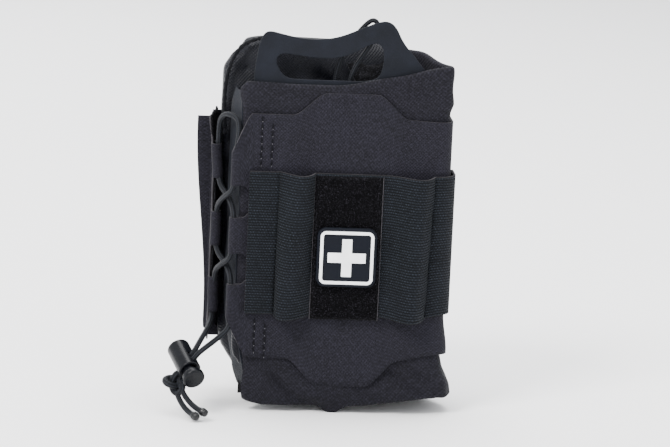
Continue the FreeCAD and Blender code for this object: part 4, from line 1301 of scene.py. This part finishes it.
def rounded_inset(share, radius):
    """How far a rounded corner draws a side in, at a share of its height."""
    return radius * (1 - np.sqrt(1 - share ** 2))


def padded_block(name, node, finish, seed, left, corner_radius, wrinkle, tuck, lift, creases=()):
    """Padded leaf: superellipse sections stacked up its height, narrowing at both ends."""
    low, high = corners(node)
    low[2] += lift[0]
    high[2] += lift[1]
    if left is not None:
        low[0] = left
    centre = (low + high) / 2
    half = (high - low) / 2
    count = 110
    levels = 84
    height = np.linspace(-1, 1, levels)
    height = np.sin(height * math.pi / 2) * 0.35 + height * 0.65
    angle = np.linspace(0, 2 * math.pi, count, endpoint=False)
    unit_x = np.sign(np.cos(angle)) * np.abs(np.cos(angle)) ** 0.34
    unit_y = np.sign(np.sin(angle)) * np.abs(np.sin(angle)) ** 0.5
    z = centre[2] + half[2] * height
    lower_left, upper_left, upper_right, lower_right = corner_radius
    inset_left = rounded_inset(share_into(z, high[2] - upper_left, upper_left, 1), 0.62 * upper_left)
    sink = share_into(z, low[2] + lower_left, lower_left, -1)
    inset_left = inset_left + 0.7 * lower_left * sink ** 1.3
    inset_right = rounded_inset(share_into(z, high[2] - upper_right, upper_right, 1), upper_right)
    sink = share_into(z, low[2] + lower_right, lower_right, -1)
    inset_right = inset_right + rounded_inset(sink, lower_right)
    thin = np.minimum(1.0, np.sqrt(np.clip(1 - np.abs(height) ** 14, 0, 1)))
    left_x = low[0] + inset_left + tuck * smoothstep(150.0, 60.0, z)
    right_x = high[0] - inset_right
    mid_x = 0.5 * (left_x + right_x)[:, None]
    half_x = np.maximum(0.5 * (right_x - left_x), 3.0)[:, None]
    y = centre[1] + half[1] * (0.12 + 0.88 * thin)[:, None] * unit_y
    grid = lattice(mid_x + half_x * unit_x, y, z[:, None])
    steps = np.diff(grid[..., :2], axis=1, prepend=grid[:, :1, :2])
    around = np.cumsum(np.hypot(steps[..., 0], steps[..., 1]), axis=1)
    close = np.sin(angle / 2)[None, :] ** 0.3
    wave = wrinkle * (ripple(around, grid[..., 2], seed, 24.0)
                      + 0.5 * ripple(around, grid[..., 2], seed + 1, 11.0)) * close
    for start, end, width, depth in creases:
        wave = wave + crease(grid[..., 0], grid[..., 2], start, end, width, depth)
    out = np.stack([np.cos(angle), np.sin(angle)], -1)
    grid[..., :2] += out * (wave - wrinkle)[..., None]
    faces = quads(levels, count, True)[:, ::-1]
    uv = np.stack([around, grid[..., 2]], -1).reshape(-1, 2)
    made = build(name, grid.reshape(-1, 3), faces, uv, [finish])
    close_ends(made, True)
    inflate(made, 4.0, 3.0, 1.8)
    subdivide(made, 1)
    settle(made, "insert", "roll_nylon", node)


# Folds of the rear roll, each as start, end, half width and depth, in x and z
ROLL_FOLDS = (((-59.0, 170.0), (-38.0, 199.0), 1.8, -2.4), ((-60.0, 158.0), (-42.0, 184.0), 2.2, -2.2),
              ((-52.0, 199.0), (-36.0, 176.0), 2.0, -2.6), ((-58.0, 186.0), (-44.0, 172.0), 2.4, 1.8),
              ((-57.0, 148.0), (-50.0, 176.0), 2.0, -1.8), ((-44.0, 204.0), (-34.0, 190.0), 2.4, 2.2))


def roll_seam(finish):
    """Binding along the rear roll's upper left corner: a narrow ridge of folded tape."""
    route = ((-55.0, 3.2, 150.0), (-56.4, 2.6, 168.0), (-55.4, 2.6, 184.0), (-50.6, 3.0, 197.0),
             (-42.0, 4.4, 203.4), (-28.0, 6.0, 205.0))
    line = spline(route, 60)
    jog = 0.4 * np.sin(arc_length(line) * 2 * math.pi / 4.3)
    line[:, 1] -= jog * 0.6
    radius = 1.1 + 0.3 * np.sin(arc_length(line) * 1.6)
    made = tube("roll_binding", line, radius, finish["roll"], 10)
    settle(made, "insert", "roll_nylon")


def side_facing(finish):
    """Smooth strip up the insert's left side, turning in behind the front cloth."""
    z = np.linspace(11.0, 177.0, 60)[:, None]
    share = np.linspace(0, 1, 16)[None, :]
    flare = 3.4 * smoothstep(184.0, 166.0, z)
    inset = 6.2 * smoothstep(58.0, 16.0, z) + 3.0 * smoothstep(20.0, 8.0, z)
    x = -46.4 - (1.6 + flare) * smoothstep(0.0, 0.8, share) + inset
    y = -24.0 + 26.0 * share + 0 * z
    grid = np.stack([x, y, z + 0 * share], -1)
    grid[..., 0] -= 0.5 * ripple(grid[..., 1], grid[..., 2], 61, 40.0)
    made = sheet("insert_side_strip", grid, finish["slate"], 0.8, -1.0)
    settle(made, "insert", "slate_laminate", "insert_side_facing")


def mouth_lining(finish):
    """Crumpled lining that fills the mouth: a sheet with gathers, highest towards the back."""
    x = np.linspace(-30.0, 58.0, 130)[None, :]
    depth = np.linspace(-20.5, 17.0, 60)[:, None]
    reach = 1 - smoothstep(20.0, 58.0, x) * 0.75 * smoothstep(-18.0, 14.0, depth)
    y = -20.5 + (depth + 20.5) * reach
    x = x + 0 * depth
    z = 176.0 + 17.0 * smoothstep(-17.0, 8.0, y) + 2.6 * ripple(x * 1.6, y, 71, 26.0)
    z = z + 1.1 * ripple(x, y, 73, 9.0) + 3.0 * smoothstep(20.0, 50.0, x)
    grid = np.stack([x, y, z], -1)
    made = sheet("mouth_lining", grid, finish["lining"], 0.8)
    face_forward(made, (0.0, 0.0, 1.0))
    settle(made, "insert", "organiser")


def lining_flap(finish):
    """Slack nylon lining behind the handle's slot: gathers fan out from its lower right."""
    across = np.linspace(0, 1, 70)[None, :]
    up = np.linspace(0, 1, 50)[:, None]
    left = -38.0 + 3.0 * up
    right = 22.0 - 16.0 * up
    x = left + (right - left) * across
    z = 172.5 + (32.0 - 4.0 * across) * up
    fan = np.arctan2(z - 172.0, 16.0 - x)
    fold = 1.7 * np.sin(fan * 9.0) * smoothstep(0.15, 0.8, across) + 0.7 * ripple(x, z, 81, 14.0)
    y = -12.6 + 3.5 * up - fold * smoothstep(0.0, 0.3, up)
    made = sheet("lining_flap", np.stack([x, y, z], -1), finish["roll"], 0.5)
    settle(made, "insert", "roll_nylon", "insert_lining_flap")


HANDLE_EDGE = ((-41.5, 150), (-41.5, 172), (-41.3, 190), (-39.6, 206), (-37.6, 213.2), (-34.2, 216.0),
               (-26, 214.0), (-12, 211.2), (3, 212.8), (16, 217.2), (26, 220.8), (31.4, 221.2),
               (35.6, 218.0), (39.6, 209.6), (47.4, 201.0), (55.0, 190), (54.0, 168), (52.5, 150),
               (20, 150), (-15, 150))
HANDLE_SLOT = ((-22.5, 186), (-26.4, 189.4), (-28.4, 194), (-29.6, 198.6), (-28.8, 202.6),
               (-25.4, 203.8), (-17, 202.8), (-6, 201.4), (4, 202.0), (12, 203.8), (20.5, 208.2),
               (25.4, 209.4), (28.8, 206.4), (29.4, 201.6), (29.0, 196), (28.0, 190.8), (25.6, 187.6),
               (20, 186), (8, 186), (-8, 186))


def pull_handle(finish):
    """Handle and its sewn base: a ring between the outline and the slot, slightly bowed."""
    count = 200
    edge = spline(HANDLE_EDGE, count, True)
    slot = spline(HANDLE_SLOT, count, True)
    share = np.linspace(0, 1, 12)[:, None, None]
    flat = edge + (slot - edge) * share
    x = flat[..., 0]
    drop = 3.6 - 1.8 * smoothstep(0.0, 30.0, flat[..., 0])
    z = flat[..., 1] - drop * smoothstep(186.0, 202.0, flat[..., 1])
    bow = 1.1 * np.sin((x + 41.5) / 94.0 * math.pi) + 0.5 * smoothstep(195.0, 215.0, z)
    y = handle_low[1] - 0.1 + bow * smoothstep(186.0, 212.0, z) - 0.4
    grid = np.stack([x, y, z], -1)
    faces = quads(12, count, True)
    uv = flat.reshape(-1, 2)
    made = build("pull_handle_sheet", grid.reshape(-1, 3), faces, uv, [finish["slate"]])
    face_forward(made, (0.0, -1.0, 0.0))
    thicken(made, 1.2)
    bevel(made, 0.3, 2, 60.0)
    apply_modifiers(made)
    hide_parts("pull_handle", "handle_anchor")
    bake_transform(made)


# ---------------------------------------------------------------- studio

def studio():
    """A wide pale floor, large soft lights and a pale sky."""
    run = np.linspace(-12000, 12000, 25)
    floor_finish = Finish("pale_floor", (0.92, 0.92, 0.92), 0.9, 0.05)
    cloud = floor_finish.noise(floor_finish.place("Object", (1.0, 1.0, 1.0)), 1.3, 2.0)
    tone = floor_finish.mix(cloud, (0.91, 0.91, 0.915), (0.94, 0.94, 0.945))
    floor = sheet("floor", lattice(run, run[:, None], 0.0), floor_finish.use(tone))
    face_forward(floor, (0.0, 0.0, 1.0))
    for name, place, target, size, power, colour in (
            ("key", (-1.1, -1.2, 1.7), (0, 0, 0.10), 0.7, 66.0, (1.0, 0.985, 0.97)),
            ("fill", (1.4, -1.2, 0.8), (0, 0, 0.10), 1.3, 8.0, (0.97, 0.985, 1.0)),
            ("top", (0.1, 0.3, 1.7), (0, 0, 0.12), 1.3, 40.0, (1.0, 1.0, 1.0)),
            ("rear", (-0.6, 1.5, 1.0), (0, 0, 0.10), 1.2, 18.0, (1.0, 1.0, 1.0))):
        data = bpy.data.lights.new(name, "AREA")
        data.size = size
        data.energy = power
        data.color = colour
        lamp = add_object(name, data)
        lamp.location = place
        lamp.rotation_euler = (Vector(target) - Vector(place)).to_track_quat("-Z", "Y").to_euler()
    world = bpy.data.worlds.new("studio")
    world.use_nodes = True
    sky = world.node_tree.nodes["Background"]
    sky.inputs["Color"].default_value = (0.93, 0.94, 0.96, 1.0)
    sky.inputs["Strength"].default_value = 1.7
    bpy.context.scene.world = world


# ---------------------------------------------------------------- the pouch

def main():
    """Camera and cords first, then the carrier, the insert and the studio."""
    place_camera()
    finish = make_finishes()
    cords(finish)
    cord_lock(finish)
    carrier_front(finish)
    seam_dashes(finish)
    elastic_band(finish)
    loop_field(finish)
    field_edges(finish)
    patch(finish)
    side_wing(finish)
    wing_lining(finish)
    flat_cloth("back_panel", "carrier_back_panel", finish["laminate"], "carrier", "laminate", 0.2)
    flat_cloth("back_spacer", "panel_spacer", finish["laminate"], "carrier", "laminate", 0.05)
    slotted_panel(finish)
    straps(finish)
    padded_block("insert_padding_front", "insert_fold_front", finish["roll"], 101, None,
                 (26, 5, 5, 20), 0.6, -3.0, (5.5, 0.0))
    padded_block("insert_padding_middle", "insert_fold_middle", finish["roll"], 103, None,
                 (26, 5, 5, 20), 0.6, -1.5, (5.0, 0.0))
    padded_block("insert_roll", "insert_rear_roll", finish["roll"], 105, -60.6,
                 (28, 37, 48, 20), 1.3, 3.5, (4.0, 6.0), ROLL_FOLDS)
    insert_cover(finish)
    roll_seam(finish)
    side_facing(finish)
    mouth_lining(finish)
    lining_flap(finish)
    pull_handle(finish)
    for name in ("upper", "lower"):
        flat_cloth("organiser_tape_" + name, "organiser_band_" + name, finish["elastic"],
                   "insert", "organiser", 0.05)
    for name in ("hook", "loop"):
        flat_cloth("closure_tape_" + name, "closure_" + name + "_strip", finish["pile"],
                   "insert", "closure", 0.05)
    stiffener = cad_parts["insert_stiffener"]
    stiffener.data.materials.clear()
    stiffener.data.materials.append(finish["hook"])
    studio()


main()
